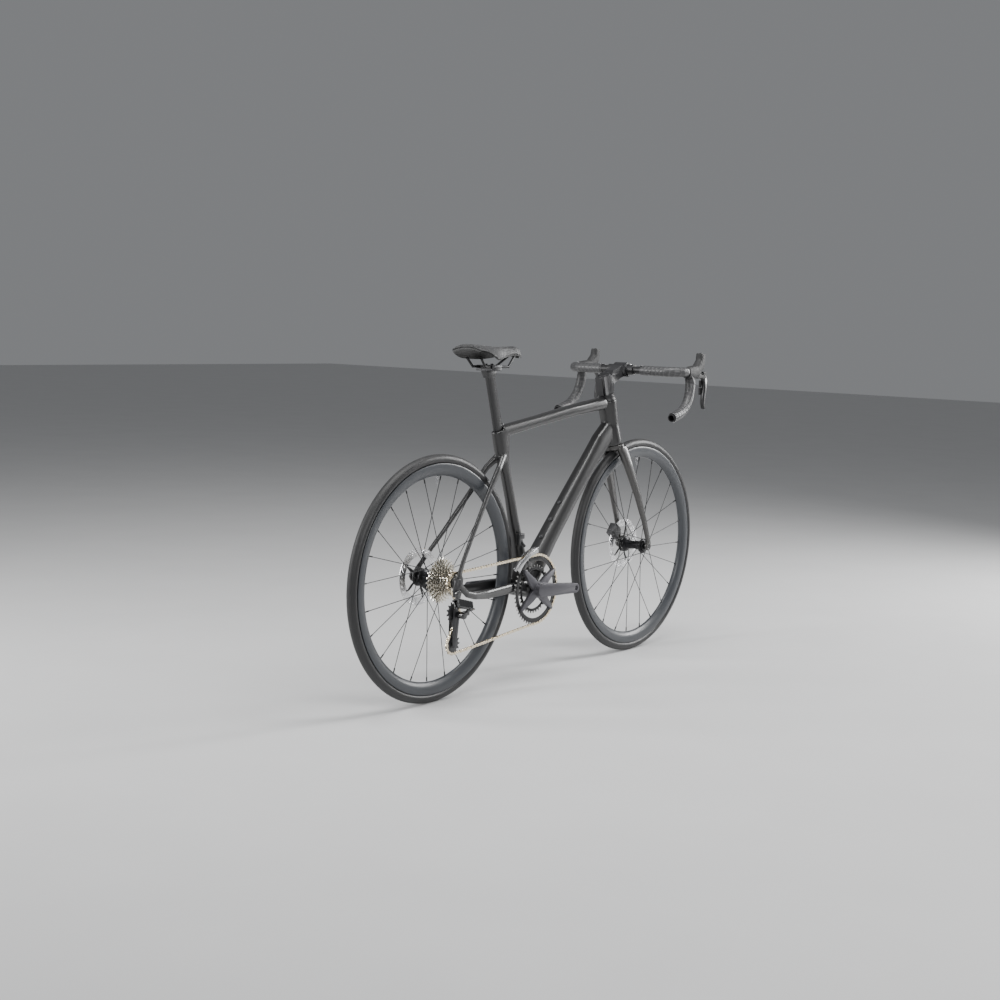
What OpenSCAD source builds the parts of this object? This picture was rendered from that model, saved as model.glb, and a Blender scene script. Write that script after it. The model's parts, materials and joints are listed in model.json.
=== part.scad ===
// Road bicycle with disc brakes, drop bars and an electronic 2 x 12 drivetrain.
// +X points forward, +Y to the left and +Z up. The origin is on the ground, midway between the axles.

/* [Wheels] */
// Distance between the two axles
wheelbase = 993; // [985:1:1000]
// Outer radius of the tyres
tyre_r = 340; // [339:0.5:341]
// Width of the tyres
tyre_w = 28; // [26:0.5:28]
// Radial depth of the rims
rim_depth = 35; // [28:1:40]
// Spokes in each wheel
spoke_count = 24; // [20:4:24]
// Radius of the brake rotors
rotor_r = 80; // [78:1:80]

/* [Frame] */
// Angle of the steering axis to the ground
head_angle = 73.5; // [73.2:0.1:73.8]
// Distance of the front axle from the steering axis
fork_rake = 45; // [44:0.5:46]
// Height of the axles above the bottom bracket
bb_drop = 70; // [69:0.5:71]
// Level distance from the rear axle to the bottom bracket
chainstay_run = 405.5; // [404:0.5:407]

/* [Cranks and chain] */
// Length of the crank arms
crank_length = 170; // [165:2.5:172.5]
// Angle of the right crank above level, pointing forward
crank_angle = -4.3; // [-6:0.1:6]
// Teeth of the large chainring
ring_teeth = 50; // [50:1:50]

/* [Cockpit and saddle] */
// Height of the handlebar's clamped centre
bar_z = 901; // [898:1:904]
// Distance of the handlebar's clamped centre from the origin
bar_x = 390; // [388:1:392]
// Length of the saddle
saddle_length = 240; // [236:1:244]
// Width of the saddle
saddle_width = 142; // [138:1:146]

/* [Hidden] */
$fn = 48;

// Wheels
rear_x = -wheelbase / 2;
front_x = wheelbase / 2;
axle_z = tyre_r;
rim_r = tyre_r - 24;
rim_inner_r = rim_r - rim_depth;
bed_half = 10.2;
axle_r = 6;
front_dropout = 50;
rear_dropout = 71;
front_rotor_y = 39.5;
rear_rotor_y = 55.7;
rotor_t = 1.8;
rotor_track = 23;
flange_r = 24;

// Steering: distances s run up the steering axis from the level of the axles
steer_lean = 90 - head_angle;
steer_x = front_x - fork_rake / sin(head_angle);
crown_low = 330;
crown_top = 344.8;
head_low = 345.6;
head_top = 489;
lower_bearing_r = 26;
upper_bearing_r = 21;
steerer_r = 14.25;
crown_race_r = 19.9;
steerer_top = 564;

// Bottom bracket, cranks and chain
bb_x = rear_x + chainstay_run;
bb_z = axle_z - bb_drop;
bb_half = 43.2;
cup_r = 20.4;
spindle_r = 11.95;
pitch = 12.7;
ring_y = -47;
small_ring_teeth = 34;
small_ring_y = -39.5;
cogs = [30, 27, 24, 21, 19, 17, 16, 15, 14, 13, 12, 11];
cog_pitch = 3.55;
cog_y0 = -25.5;
chain_cog = 11;
cog_y = cog_y0 - cog_pitch * chain_cog;
pulley_teeth = 13;
guide_pos = [rear_x + 7, cog_y, 258];
tension_pos = [rear_x + 8, cog_y, 169];
plate_h = 8.4;

// Seat post and saddle
seat_angle = 73.6;
seat_lean = 90 - seat_angle;
seat_x = -238;
seat_z = 749;
post_depth = 32;
post_width = 19;
saddle_rear = -383;
saddle_top = 971;
rail_r = 3.5;
rail_y = 22;
rail_z = 913;

// Cockpit
bar_r = 15.9;
grip_r = 11.9;
tape_r = 15.2;
tape_start = 60;
top_half = 155;
corner_r = 45;
grip_y = top_half + corner_r;
hook_r = 30;
drop_r = 100;
drop_sweep = 75;
drop_end = 45;
flare = 5;

function unit(v) = v / norm(v);
function pitch_r(teeth) = pitch / (2 * sin(180 / teeth));

module at_steer(s = 0) {
    translate([steer_x, 0, axle_z]) rotate([0, -steer_lean, 0]) translate([0, 0, s]) children();
}

module at_seat(h = 0) {
    translate([seat_x, 0, seat_z]) rotate([0, -seat_lean, 0]) translate([0, 0, h]) children();
}

// Turns a shape drawn about Z so that its axis is Y
module about_y(x, y, z) {
    translate([x, y, z]) rotate([-90, 0, 0]) children();
}

// Extrudes an outline drawn in X and Z from y0 to y1
module side_plate(y0, y1) {
    translate([0, y1, 0]) rotate([90, 0, 0]) linear_extrude(y1 - y0) children();
}

module both_sides() {
    children();
    mirror([0, 1, 0]) children();
}

module rod(a, b, r) {
    v = b - a;
    translate(a) rotate([0, acos(v[2] / norm(v)), atan2(v[1], v[0])]) cylinder(h = norm(v), r = r);
}

module ring(r_out, r_in, h) {
    difference() {
        cylinder(h = h, r = r_out);
        translate([0, 0, -1]) cylinder(h = h + 2, r = r_in);
    }
}

// A thin slice of an aero tube: p is its centre, tilt its direction from +Z towards +X
function soft_box(d, w, n) = [
    for (i = [0 : n - 1])
        let (c = cos(360 * i / n), s = sin(360 * i / n))
            [d / 2 * sign(c) * pow(abs(c), 0.75), w / 2 * sign(s) * pow(abs(s), 0.75)]
];

module slice(st) {
    translate(st[0]) rotate([0, st[1], 0]) linear_extrude(0.2) polygon(soft_box(st[2], st[3], 20));
}

module loft(stations) {
    for (i = [0 : len(stations) - 2]) {
        hull() {
            slice(stations[i]);
            slice(stations[i + 1]);
        }
    }
}

// ---------------------------------------------------------------- frame

dt_tilt = 42.4;
tt_tilt = 81.6;

seat_tube_stations = [
    [[seat_x + 16, 0, 738], -seat_lean, 68, 31],
    [[seat_x + 24, 0, 682], -seat_lean, 51, 31],
    [[seat_x + 32, 0, 646], -seat_lean, 38, 28],
    [[seat_x + 46, 0, 606], -seat_lean, 28, 26],
    [[seat_x + 71, 0, 533], -seat_lean, 27, 26],
    [[seat_x + 88, 0, 474], -seat_lean, 27, 30],
    [[seat_x + 102, 0, 429], -seat_lean, 26, 36],
    [[bb_x - 8, 0, bb_z + 20], -seat_lean, 40, 60]
];
top_tube_stations = [
    [[-222, 0, 730], tt_tilt, 34, 32],
    [[-60, 0, 754], tt_tilt, 31, 36],
    [[120, 0, 780], tt_tilt, 33, 40],
    [[284, 0, 798], tt_tilt, 37, 44]
];
down_tube_stations = [
    [[bb_x + 12, 0, bb_z + 18], dt_tilt, 60, 66],
    [[22, 0, 405], dt_tilt, 54, 54],
    [[130, 0, 524], dt_tilt, 53, 48],
    [[240, 0, 637], dt_tilt, 60, 44],
    [[284, 0, 679], dt_tilt, 70, 43],
    [[330, 0, 722], dt_tilt, 60, 42]
];
chainstay_stations = [
    [[bb_x - 6, 28, bb_z + 6], 90, 38, 20],
    [[bb_x - 58, 27, bb_z + 13], 90, 30, 15],
    [[bb_x - 110, 36, bb_z + 14], 90, 28, 13],
    [[-330, 52, 284], 90, 25, 13],
    [[-400, 67, 291], 98, 20, 12],
    [[-440, 71, 301], 110, 19, 10],
    [[-482, 75, 332], 122, 20, 7.8]
];
seatstay_stations = [
    [[-214, 8, 662], 42, 24, 16],
    [[-252, 22, 629], 42, 19, 13],
    [[-300, 30, 574], 41, 16, 11],
    [[-400, 52, 456], 41, 14, 9],
    [[-456, 66.5, 391], 40, 15, 8],
    [[-482, 75, 356], 36, 18, 7.8]
];

module frame_cavities() {
    at_steer(head_top) cylinder(h = 40, r = 31);
    at_bosses() translate([0, 0, -9]) cylinder(h = 20, r = 4.7);
    at_steer(head_low - 1) cylinder(h = 8.4, r = lower_bearing_r + 0.1);
    at_steer(head_low) cylinder(h = 140, r = 20.4);
    at_steer(head_top - 8) cylinder(h = 12, r = upper_bearing_r + 0.1);
    at_seat(-100) linear_extrude(130) polygon(soft_box(post_depth + 0.6, post_width + 0.6, 40));
    at_seat(-23) translate([post_depth / 2 - 1, -5, 0]) cube([9, 10, 60]);
    about_y(bb_x, -60, bb_z) cylinder(h = 120, r = cup_r + 0.1);
    about_y(rear_x, -90, axle_z) cylinder(h = 180, r = axle_r + 0.1);
}

module frame() {
    color("#17181b")
        difference() {
            union() {
                loft(top_tube_stations);
                loft(down_tube_stations);
                loft(seat_tube_stations);
                hull() {
                    at_steer(head_low) cylinder(h = 8, r = 30);
                    at_steer(head_low + 60) cylinder(h = 10, r = 26.5);
                }
                hull() {
                    at_steer(head_low + 60) cylinder(h = 10, r = 26.5);
                    at_steer(head_top - 8) cylinder(h = 8, r = 29);
                }
                about_y(bb_x, -bb_half, bb_z) cylinder(h = 2 * bb_half, r = 27);
                both_sides() loft(chainstay_stations);
                both_sides() loft(seatstay_stations);
                both_sides() about_y(rear_x, rear_dropout, axle_z) cylinder(h = 8, r = 15);
                both_sides() hull() {
                    about_y(rear_x, rear_dropout, axle_z) cylinder(h = 8, r = 15);
                    about_y(rear_x + 16, rear_dropout, axle_z + 3) cylinder(h = 8, r = 15);
                }
            }
            frame_cavities();
        }
}

module bottom_bracket_cups() {
    color("#232323")
        both_sides() about_y(bb_x, bb_half - 11, bb_z) ring(cup_r, spindle_r + 0.05, 10);
}

module headset_bearings() {
    color("silver") {
        at_steer(head_low + 0.2) ring(lower_bearing_r, crown_race_r + 0.05, 7);
        at_steer(head_top - 7.5) ring(upper_bearing_r, steerer_r + 0.05, 7);
    }
}

// Three threaded inserts for bottle cages, in a row on the down tube's upper face
boss_mid = [33, 459.5];
boss_step = 64;

module at_bosses() {
    for (k = [-1 : 1])
        translate([boss_mid[0] + k * boss_step * sin(dt_tilt), 0, boss_mid[1] + k * boss_step * cos(dt_tilt)])
            rotate([0, dt_tilt - 90, 0]) children();
}

module bottle_bosses() {
    color("silver") at_bosses() translate([0, 0, -8.9]) ring(4.6, 2.1, 10.4);
}

module derailleur_hanger() {
    color("#2a2a2c")
        difference() {
            side_plate(-85, -79.05)
                polygon([
                    [rear_x - 11, axle_z + 9], [rear_x + 11, axle_z + 9], [rear_x + 13, axle_z - 8],
                    [rear_x + 4, axle_z - 22], [rear_x + 1, axle_z - 38], [rear_x - 15, axle_z - 38],
                    [rear_x - 17, axle_z - 20]
                ]);
            about_y(rear_x, -90, axle_z) cylinder(h = 20, r = axle_r + 0.05);
            about_y(rear_x - 7, -90, axle_z - 29) cylinder(h = 20, r = 5.05);
        }
}

module rear_thru_axle() {
    color("#222224") {
        about_y(rear_x, -85, axle_z) cylinder(h = 164.2, r = axle_r);
        about_y(rear_x, rear_dropout + 8.05, axle_z) difference() {
            cylinder(h = 4, r = 9);
            translate([0, 0, 1]) cylinder(h = 5, r = 3.5, $fn = 6);
        }
    }
}

module front_thru_axle() {
    color("#222224") {
        about_y(front_x, -60, axle_z) cylinder(h = 120.2, r = axle_r);
        about_y(front_x, 60.05, axle_z) difference() {
            cylinder(h = 3.5, r = 8.5);
            translate([0, 0, 1]) cylinder(h = 5, r = 3, $fn = 6);
        }
    }
}

module seat_clamp_wedge() {
    color("#2b2b2d")
        at_seat(-20) translate([post_depth / 2 + 0.4, -4.6, 0]) cube([6.4, 9.2, 19]);
}

// ---------------------------------------------------------------- seat post and saddle

module seatpost() {
    color("#1d1e21") {
        at_seat(-60) linear_extrude(205) polygon(soft_box(post_depth, post_width, 24));
        side_plate(-11, 11)
            polygon([
                [clamp_x - 22, rail_z - 11.05], [clamp_x + 24, rail_z - 11.05],
                [clamp_x + 18, rail_z - 26], [clamp_x - 9, rail_z - 32]
            ]);
    }
}

clamp_x = seat_x - 46;

module saddle_clamp() {
    color("#2a2b2e")
        difference() {
            union() {
                translate([clamp_x - 22, -27, rail_z - 11]) cube([46, 54, 8]);
                translate([clamp_x - 20, -28, rail_z - 3]) cube([42, 56, 7.5]);
            }
            both_sides() rod([clamp_x - 40, rail_y, rail_z], [clamp_x + 40, rail_y, rail_z], rail_r + 0.05);
            for (dx = [-12, 14])
                translate([clamp_x + dx, 0, rail_z - 20]) cylinder(h = 40, r = 2.6);
        }
    color("silver")
        for (dx = [-12, 14])
            translate([clamp_x + dx, 0, rail_z - 10.95]) {
                cylinder(h = 19, r = 2.5);
                translate([0, 0, 15.5]) cylinder(h = 4, r = 4.6);
            }
}

rail_rear = [saddle_rear + 32, rail_y + 3, saddle_top - 34];
rail_a = [clamp_x - 44, rail_y, rail_z];
rail_b = [clamp_x + 60, rail_y, rail_z];
rail_front = [saddle_rear + saddle_length - 34, 9, saddle_top - 25];

module saddle_rails() {
    color("#8b8d90")
        both_sides() {
            rod(rail_rear, rail_a, rail_r);
            translate(rail_a) sphere(r = rail_r + 0.2);
            rod(rail_a, rail_b, rail_r);
            translate(rail_b) sphere(r = rail_r + 0.2);
            rod(rail_b, rail_front, rail_r);
        }
}

// Saddle surface: u runs 0 to 1 from the rear to the nose, v from -1 to 1 across
function ease(a, b, t) = let (k = min(1, max(0, (t - a) / (b - a)))) k * k * (3 - 2 * k);
function saddle_half(u) =
    (saddle_width / 2 - (saddle_width / 2 - 19) * ease(0.14, 0.66, u))
    * sqrt(1 - pow(1 - min(1, (u + 0.012) / 0.16), 2) * 0.55)
    * sqrt(1 - pow(max(0, (u - 0.88) / 0.122), 2));
function saddle_drop(u) = 15 + 19 * ease(0, 0.26, u) - 13 * ease(0.4, 0.85, u);
function saddle_z(u, v) =
    saddle_top + 4 * (1 - ease(0, 0.45, u)) - 9 * ease(0.84, 1, u) - saddle_drop(u) * pow(abs(v), 2.4);
function saddle_pt(u, v, down) = [
    saddle_rear + saddle_length * u,
    v * saddle_half(u) * (1 - down * 0.004),
    saddle_z(u, v) - down * (1 - 0.6 * pow(abs(v), 3))
];
saddle_rows = 22;
saddle_cols = 12;

// A closed sheet that lies between two depths below the saddle's upper surface
module saddle_layer(top, bottom) {
    n = (saddle_rows + 1) * (saddle_cols + 1);
    w = saddle_cols + 1;
    points = [
        for (d = [top, bottom]) for (i = [0 : saddle_rows]) for (j = [0 : saddle_cols])
            saddle_pt(i / saddle_rows, 2 * j / saddle_cols - 1, d)
    ];
    faces = concat(
        [for (i = [0 : saddle_rows - 1]) for (j = [0 : saddle_cols - 1])
            let (a = i * w + j) each [[a, a + 1, a + w], [a + 1, a + w + 1, a + w]]],
        [for (i = [0 : saddle_rows - 1]) for (j = [0 : saddle_cols - 1])
            let (a = n + i * w + j) each [[a, a + w, a + 1], [a + 1, a + w, a + w + 1]]],
        [for (i = [0 : saddle_rows - 1])
            let (a = i * w, b = n + i * w) each [[a, a + w, b], [a + w, b + w, b]]],
        [for (i = [0 : saddle_rows - 1])
            let (a = i * w + saddle_cols, b = a + n) each [[a, b, a + w], [a + w, b, b + w]]],
        [for (j = [0 : saddle_cols - 1])
            let (a = j, b = n + j) each [[a, b, a + 1], [a + 1, b, b + 1]]],
        [for (j = [0 : saddle_cols - 1])
            let (a = saddle_rows * w + j, b = a + n) each [[a, a + 1, b], [a + 1, b + 1, b]]]
    );
    polyhedron(points = points, faces = faces);
}

module saddle_base() {
    color("#1b1b1d") saddle_layer(9.4, 12.6);
}

module saddle_pad() {
    color("#222225") saddle_layer(0, 9.2);
}

// ---------------------------------------------------------------- fork and cockpit

fork_leg_stations = [
    [[363, 25, 662], -18, 42, 20],
    [[369, 31, 648], -20, 40, 20],
    [[389, 38, 605], -24, 37, 18],
    [[436, 47, 507], -26, 27, 15],
    [[472, 52, 426], -22, 20, 12],
    [[498, 55, 356], -16, 19, 9.8]
];

module fork() {
    color("#3a3a3c")
        difference() {
            union() {
                both_sides() loft(fork_leg_stations);
                both_sides() hull() {
                    slice(fork_leg_stations[5]);
                    about_y(front_x, front_dropout + 0.1, axle_z) cylinder(h = 9.8, r = 13);
                }
                hull() {
                    at_steer(crown_low) cylinder(h = crown_top - crown_low, r = 26);
                    both_sides() at_steer(crown_low + 2) translate([4, 22, 0]) cylinder(h = 11, r = 14);
                }
                at_steer(crown_top - 1) cylinder(h = 9.2, r = crown_race_r);
                at_steer(crown_top + 8) cylinder(h = 50, r1 = 19, r2 = steerer_r);
                at_steer(crown_top + 50) cylinder(h = steerer_top - crown_top - 50, r = steerer_r);
            }
            about_y(front_x, -70, axle_z) cylinder(h = 140, r = axle_r + 0.1);
        }
}

module headset_spacers() {
    color("#26262a") {
        at_steer(head_top + 0.6) difference() {
            cylinder(h = 9, r1 = 29, r2 = 25);
            translate([0, 0, -1]) cylinder(h = 12, r = steerer_r + 0.05);
        }
        for (i = [0, 1])
            at_steer(head_top + 9.8 + 5.2 * i) ring(24.5, steerer_r + 0.05, 5);
    }
}

stem_low = head_top + 20.4;
stem_high = stem_low + 58;
stem_reach = 20;
clamp_half = 22;

module stem() {
    color("#1c1c1f")
        difference() {
            union() {
                hull() {
                    at_steer(stem_low) cylinder(h = stem_high - stem_low, r = 21);
                    at_steer(stem_low) translate([stem_reach, 0, 0])
                        cylinder(h = stem_high - stem_low - 14, r = 15);
                }
                at_steer(stem_low) translate([-30, -12, 2]) cube([20, 24, stem_high - stem_low - 2]);
                side_plate(-15, 15)
                    polygon([
                        [290, 856], [330, 860], [bar_x - 14, 880], [bar_x - 3, 921], [320, 899], [308, 880]
                    ]);
                about_y(bar_x, -clamp_half, bar_z) cylinder(h = 2 * clamp_half, r = 22.5);
            }
            at_steer(stem_low - 1) cylinder(h = 80, r = steerer_r + 0.05);
            about_y(bar_x, -clamp_half - 1, bar_z) cylinder(h = 2 * clamp_half + 2, r = bar_r + 0.05);
            translate([bar_x + 1, -40, bar_z - 40]) cube([50, 80, 80]);
        }
}

module stem_faceplate() {
    color("#1c1c1f")
        difference() {
            about_y(bar_x, -clamp_half, bar_z) cylinder(h = 2 * clamp_half, r = 22.5);
            about_y(bar_x, -clamp_half - 1, bar_z) cylinder(h = 2 * clamp_half + 2, r = bar_r + 0.05);
            translate([bar_x - 48, -40, bar_z - 40]) cube([50.5, 80, 80]);
        }
}

module stem_hardware() {
    color("silver") {
        for (y = [-15, 15]) for (dz = [-14, 14])
            translate([bar_x + 20.3, y, bar_z + dz]) rotate([0, 90, 0]) difference() {
                cylinder(h = 6.5, r = 3.6);
                translate([0, 0, 3]) cylinder(h = 5, r = 1.8, $fn = 6);
            }
        at_steer(stem_high + 0.1) cylinder(h = 4.5, r1 = 20.5, r2 = 17);
    }
}

// One side of the bar from the end of its straight top to the end of its drop
module hook(ro, ri, from, to) {
    translate([0, grip_y, bar_z]) rotate([flare, 0, 0]) {
        if (from <= 1 && to >= 2)
            translate([bar_x + corner_r, 0, -hook_r]) rotate([90, 0, 0])
                rotate_extrude(angle = 90) translate([hook_r, 0]) section(ro, ri);
        if (from <= 2 && to >= 3)
            translate([bar_x + corner_r + hook_r - drop_r, 0, -hook_r]) rotate([90, 0, 0]) {
                rotate([0, 0, -drop_sweep]) rotate_extrude(angle = drop_sweep)
                    translate([drop_r, 0]) section(ro, ri);
                rotate([0, 0, -drop_sweep]) translate([drop_r, 0, 0]) rotate([90, 0, 0])
                    linear_extrude(drop_end) section(ro, ri);
            }
    }
}

module section(ro, ri) {
    difference() {
        circle(r = ro);
        circle(r = ri);
    }
}

module handlebar() {
    color("#202023") {
        about_y(bar_x, -42, bar_z) ring(bar_r, 13, 84);
        both_sides() {
            about_y(bar_x, 42, bar_z) ring(bar_r, 9.5, 4);
            about_y(bar_x, 46, bar_z) ring(grip_r, 9.5, top_half - 46);
            mirror([1, 0, 0]) translate([-2 * bar_x, 0, 0]) corner(grip_r, 9.5);
            hook(grip_r, 9.5, 1, 3);
        }
    }
}

// Quarter bend from the straight top to the forward reach, mirrored into place
module corner(ro, ri) {
    translate([bar_x - corner_r, top_half, bar_z])
        rotate_extrude(angle = 90) translate([corner_r, 0]) section(ro, ri);
}

module bar_tape() {
    color("#141416")
        both_sides() {
            about_y(bar_x, tape_start, bar_z) ring(tape_r, grip_r + 0.05, top_half - tape_start);
            mirror([1, 0, 0]) translate([-2 * bar_x, 0, 0]) corner(tape_r, grip_r + 0.05);
            hook(tape_r, grip_r + 0.05, 2, 3);
            translate([0, grip_y, bar_z]) rotate([flare, 0, 0])
                translate([bar_x + corner_r + hook_r - drop_r, 0, -hook_r]) rotate([90, 0, 0])
                    rotate([0, 0, -drop_sweep]) translate([drop_r, -drop_end - 3, 0]) rotate([-90, 0, 0])
                        cylinder(h = 2.9, r = 14.5);
        }
}

hood_x = bar_x + corner_r;
hood_stations = [
    [[hood_x + 8, grip_y, bar_z - 2], 90, 34, 32],
    [[hood_x + 34, grip_y, bar_z - 2], 86, 42, 31],
    [[hood_x + 66, grip_y - 1, bar_z + 2], 74, 40, 29],
    [[hood_x + 92, grip_y - 2, bar_z + 26], 50, 38, 27],
    [[hood_x + 97, grip_y - 3, bar_z + 56], 8, 33, 24]
];
pivot_x = hood_x + 108;
pivot_z = bar_z - 12;

module lever_hoods() {
    color("#1a1a1c")
        both_sides()
            difference() {
                union() {
                    loft(hood_stations);
                    translate([pivot_x - 10, grip_y - 9.5, pivot_z - 9]) cube([17, 19, 22]);
                    translate([hood_x + 60, grip_y - 9.5, pivot_z - 8]) cube([40, 19, 12]);
                }
                translate([pivot_x - 22, grip_y - 6.6, pivot_z - 24]) cube([60, 13.2, 32]);
                about_y(pivot_x, grip_y - 30, pivot_z) cylinder(h = 60, r = 2.4);
                hook_clearance();
                translate([hood_x + 97, grip_y - 3, bar_z + 56]) cube([10, 9, 9], center = true);
            }
}

module hook_clearance() {
    mirror([1, 0, 0]) translate([-2 * bar_x, 0, 0]) corner(tape_r + 0.2, 0.1);
    hook(grip_r + 0.15, 0, 1, 2);
    hook(tape_r + 0.2, 0, 2, 3);
}

// Brake lever: a blade on a pin through the hood's clevis
module lever_shape() {
    side_plate(grip_y - 6.1, grip_y + 6.1)
        polygon([
            [pivot_x - 6, pivot_z + 6], [pivot_x + 7, pivot_z + 6], [pivot_x + 19, pivot_z - 12],
            [pivot_x + 19, pivot_z - 36], [pivot_x + 12, pivot_z - 66], [pivot_x + 9, pivot_z - 84],
            [pivot_x + 15, pivot_z - 100], [pivot_x + 9, pivot_z - 104], [pivot_x + 2, pivot_z - 86],
            [pivot_x + 4, pivot_z - 62], [pivot_x + 9, pivot_z - 36], [pivot_x + 6, pivot_z - 18],
            [pivot_x - 6, pivot_z - 6]
        ]);
    about_y(pivot_x, grip_y - 9, pivot_z) cylinder(h = 18, r = 2.3);
}

module right_brake_lever() {
    color("#2b2c2f") mirror([0, 1, 0]) lever_shape();
}

module left_brake_lever() {
    color("#2b2c2f") lever_shape();
}

// Shift switches: two paddles on the inner face behind each lever blade
module switch_shape(low, high) {
    side_plate(grip_y - 13, grip_y - 6.9)
        polygon([
            [pivot_x + 1, pivot_z + low], [pivot_x + 8, pivot_z + low],
            [pivot_x + 12, pivot_z + high], [pivot_x - 1, pivot_z + high]
        ]);
}

module right_upshift_switch() {
    color("#242427") mirror([0, 1, 0]) switch_shape(-36, -15);
}

module right_downshift_switch() {
    color("#1e1e21") mirror([0, 1, 0]) switch_shape(-60, -38);
}

module left_upshift_switch() {
    color("#242427") switch_shape(-36, -15);
}

module left_downshift_switch() {
    color("#1e1e21") switch_shape(-60, -38);
}

module hood_button_shape() {
    translate([hood_x + 97, grip_y - 3, bar_z + 56.5]) cube([8, 7, 5], center = true);
}

module right_hood_button() {
    color("#303033") mirror([0, 1, 0]) hood_button_shape();
}

module left_hood_button() {
    color("#303033") hood_button_shape();
}

// ---------------------------------------------------------------- brakes

pad_t = 4;
pad_gap = 0.45;
front_caliper_angle = 142;
rear_caliper_angle = -8;

// Places a caliper or pad: local X points outward from the axle, Y is the rotor's axis
module at_caliper(x, y, angle) {
    translate([x, y, axle_z]) rotate([0, -angle, 0]) children();
}

module caliper_shape(slot) {
    difference() {
        translate([54, -11.5, -19]) cube([36, 23, 38]);
        translate([50, -slot, -20]) cube([33, 2 * slot, 40]);
        translate([56, -6.4, -12.2]) cube([20.4, 12.8, 24.4]);
        for (z = [-15.5, 15.5])
            translate([86, -20, z]) rotate([-90, 0, 0]) cylinder(h = 40, r = 2.6);
    }
}

module front_brake_caliper() {
    color("#26262a") at_caliper(front_x, front_rotor_y, front_caliper_angle) caliper_shape(1.6);
}

module rear_brake_caliper() {
    color("#26262a") at_caliper(rear_x, rear_rotor_y, rear_caliper_angle) caliper_shape(1.6);
}

module pad_shape(side) {
    translate([58, side > 0 ? rotor_t / 2 + pad_gap : -rotor_t / 2 - pad_gap - pad_t, -11])
        cube([17, pad_t, 22]);
}

module front_outer_pad() {
    color("#3b332c") at_caliper(front_x, front_rotor_y, front_caliper_angle) pad_shape(1);
}

module front_inner_pad() {
    color("#3b332c") at_caliper(front_x, front_rotor_y, front_caliper_angle) pad_shape(-1);
}

module rear_outer_pad() {
    color("#3b332c") at_caliper(rear_x, rear_rotor_y, rear_caliper_angle) pad_shape(1);
}

module rear_inner_pad() {
    color("#3b332c") at_caliper(rear_x, rear_rotor_y, rear_caliper_angle) pad_shape(-1);
}

// ---------------------------------------------------------------- wheels

module tyre_at(x) {
    h = tyre_w / 2;
    bead_y = bed_half - 0.1;
    about_y(x, 0, axle_z) rotate_extrude($fn = 96) {
        difference() {
            translate([tyre_r - h, 0]) circle(r = h);
            translate([tyre_r - h, 0]) circle(r = h - 2.6);
            translate([0, -tyre_w]) square([rim_r + 0.1, 2 * tyre_w]);
        }
        for (y = [-bead_y, bead_y - 3])
            translate([rim_r - 5.9, y]) square([7.5, 3]);
    }
}

// Deep rim with a hooked bed for the tyre and a rounded inner edge
module rim_at(x) {
    about_y(x, 0, axle_z) rotate_extrude($fn = 96)
        difference() {
            polygon([
                [rim_inner_r, -5], [rim_inner_r + 4, -9], [rim_inner_r + 16, -13], [rim_r - 2, -13.6],
                [rim_r, -12.6], [rim_r, -bed_half], [rim_r - 6, -bed_half], [rim_r - 9, -5],
                [rim_r - 9, 5], [rim_r - 6, bed_half], [rim_r, bed_half], [rim_r, 12.6],
                [rim_r - 2, 13.6], [rim_inner_r + 16, 13], [rim_inner_r + 4, 9], [rim_inner_r, 5]
            ]);
            polygon([
                [rim_inner_r + 4, -4], [rim_inner_r + 17, -10.5], [rim_r - 12, -10.5],
                [rim_r - 12, 10.5], [rim_inner_r + 17, 10.5], [rim_inner_r + 4, 4]
            ]);
        }
    // valve stem
    about_y(x, 0, axle_z) rotate([0, 0, -90]) translate([rim_inner_r - 24, 0, 0]) rotate([0, 90, 0])
        cylinder(h = 23.7, r = 2.6);
}

// Crossed spokes between the hub flanges and the rim
module spokes_at(x, left_y, right_y) {
    about_y(x, 0, axle_z)
        for (i = [0 : spoke_count - 1]) {
            side = i % 2 == 0 ? 1 : -1;
            lead = floor(i / 2) % 2 == 0 ? 1 : -1;
            at_rim = 360 * i / spoke_count + 3.75;
            at_hub = at_rim + lead * 62;
            y = side > 0 ? left_y : -right_y;
            a = [(flange_r - 2) * cos(at_hub), (flange_r - 2) * sin(at_hub), y + side * 3];
            b = [(rim_inner_r - 0.4) * cos(at_rim), (rim_inner_r - 0.4) * sin(at_rim), side * 1.6];
            c = b + unit(a - b) * 12;
            rod(a, c, 1);
            rod(c, b, 1.9);
        }
}

module hub_at(x, half, left_y, right_y, right_end) {
    about_y(x, 0, axle_z) {
        rotate_extrude()
            polygon([
                [15.2, -right_end], [17.2, -right_end], [17.2, -right_y - 2], [flange_r, -right_y - 1.6],
                [flange_r, -right_y + 1.2], [15, -right_y + 5], [12.5, 0], [15, left_y - 5],
                [flange_r, left_y - 1.2], [flange_r, left_y + 1.6], [17, left_y + 2],
                [17, half - 14], [15.2, half - 14], [15.2, half - 20], [10.5, half - 22],
                [10.5, -right_end + 8], [15.2, -right_end + 8]
            ]);
        // bearings and end caps
        translate([0, 0, half - 19.9]) ring(15.1, axle_r + 0.05, 6);
        translate([0, 0, -right_end + 0.1]) ring(15.1, axle_r + 0.05, 7.8);
        translate([0, 0, half - 13.8]) ring(10, axle_r + 0.05, 13.7);
    }
}

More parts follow.
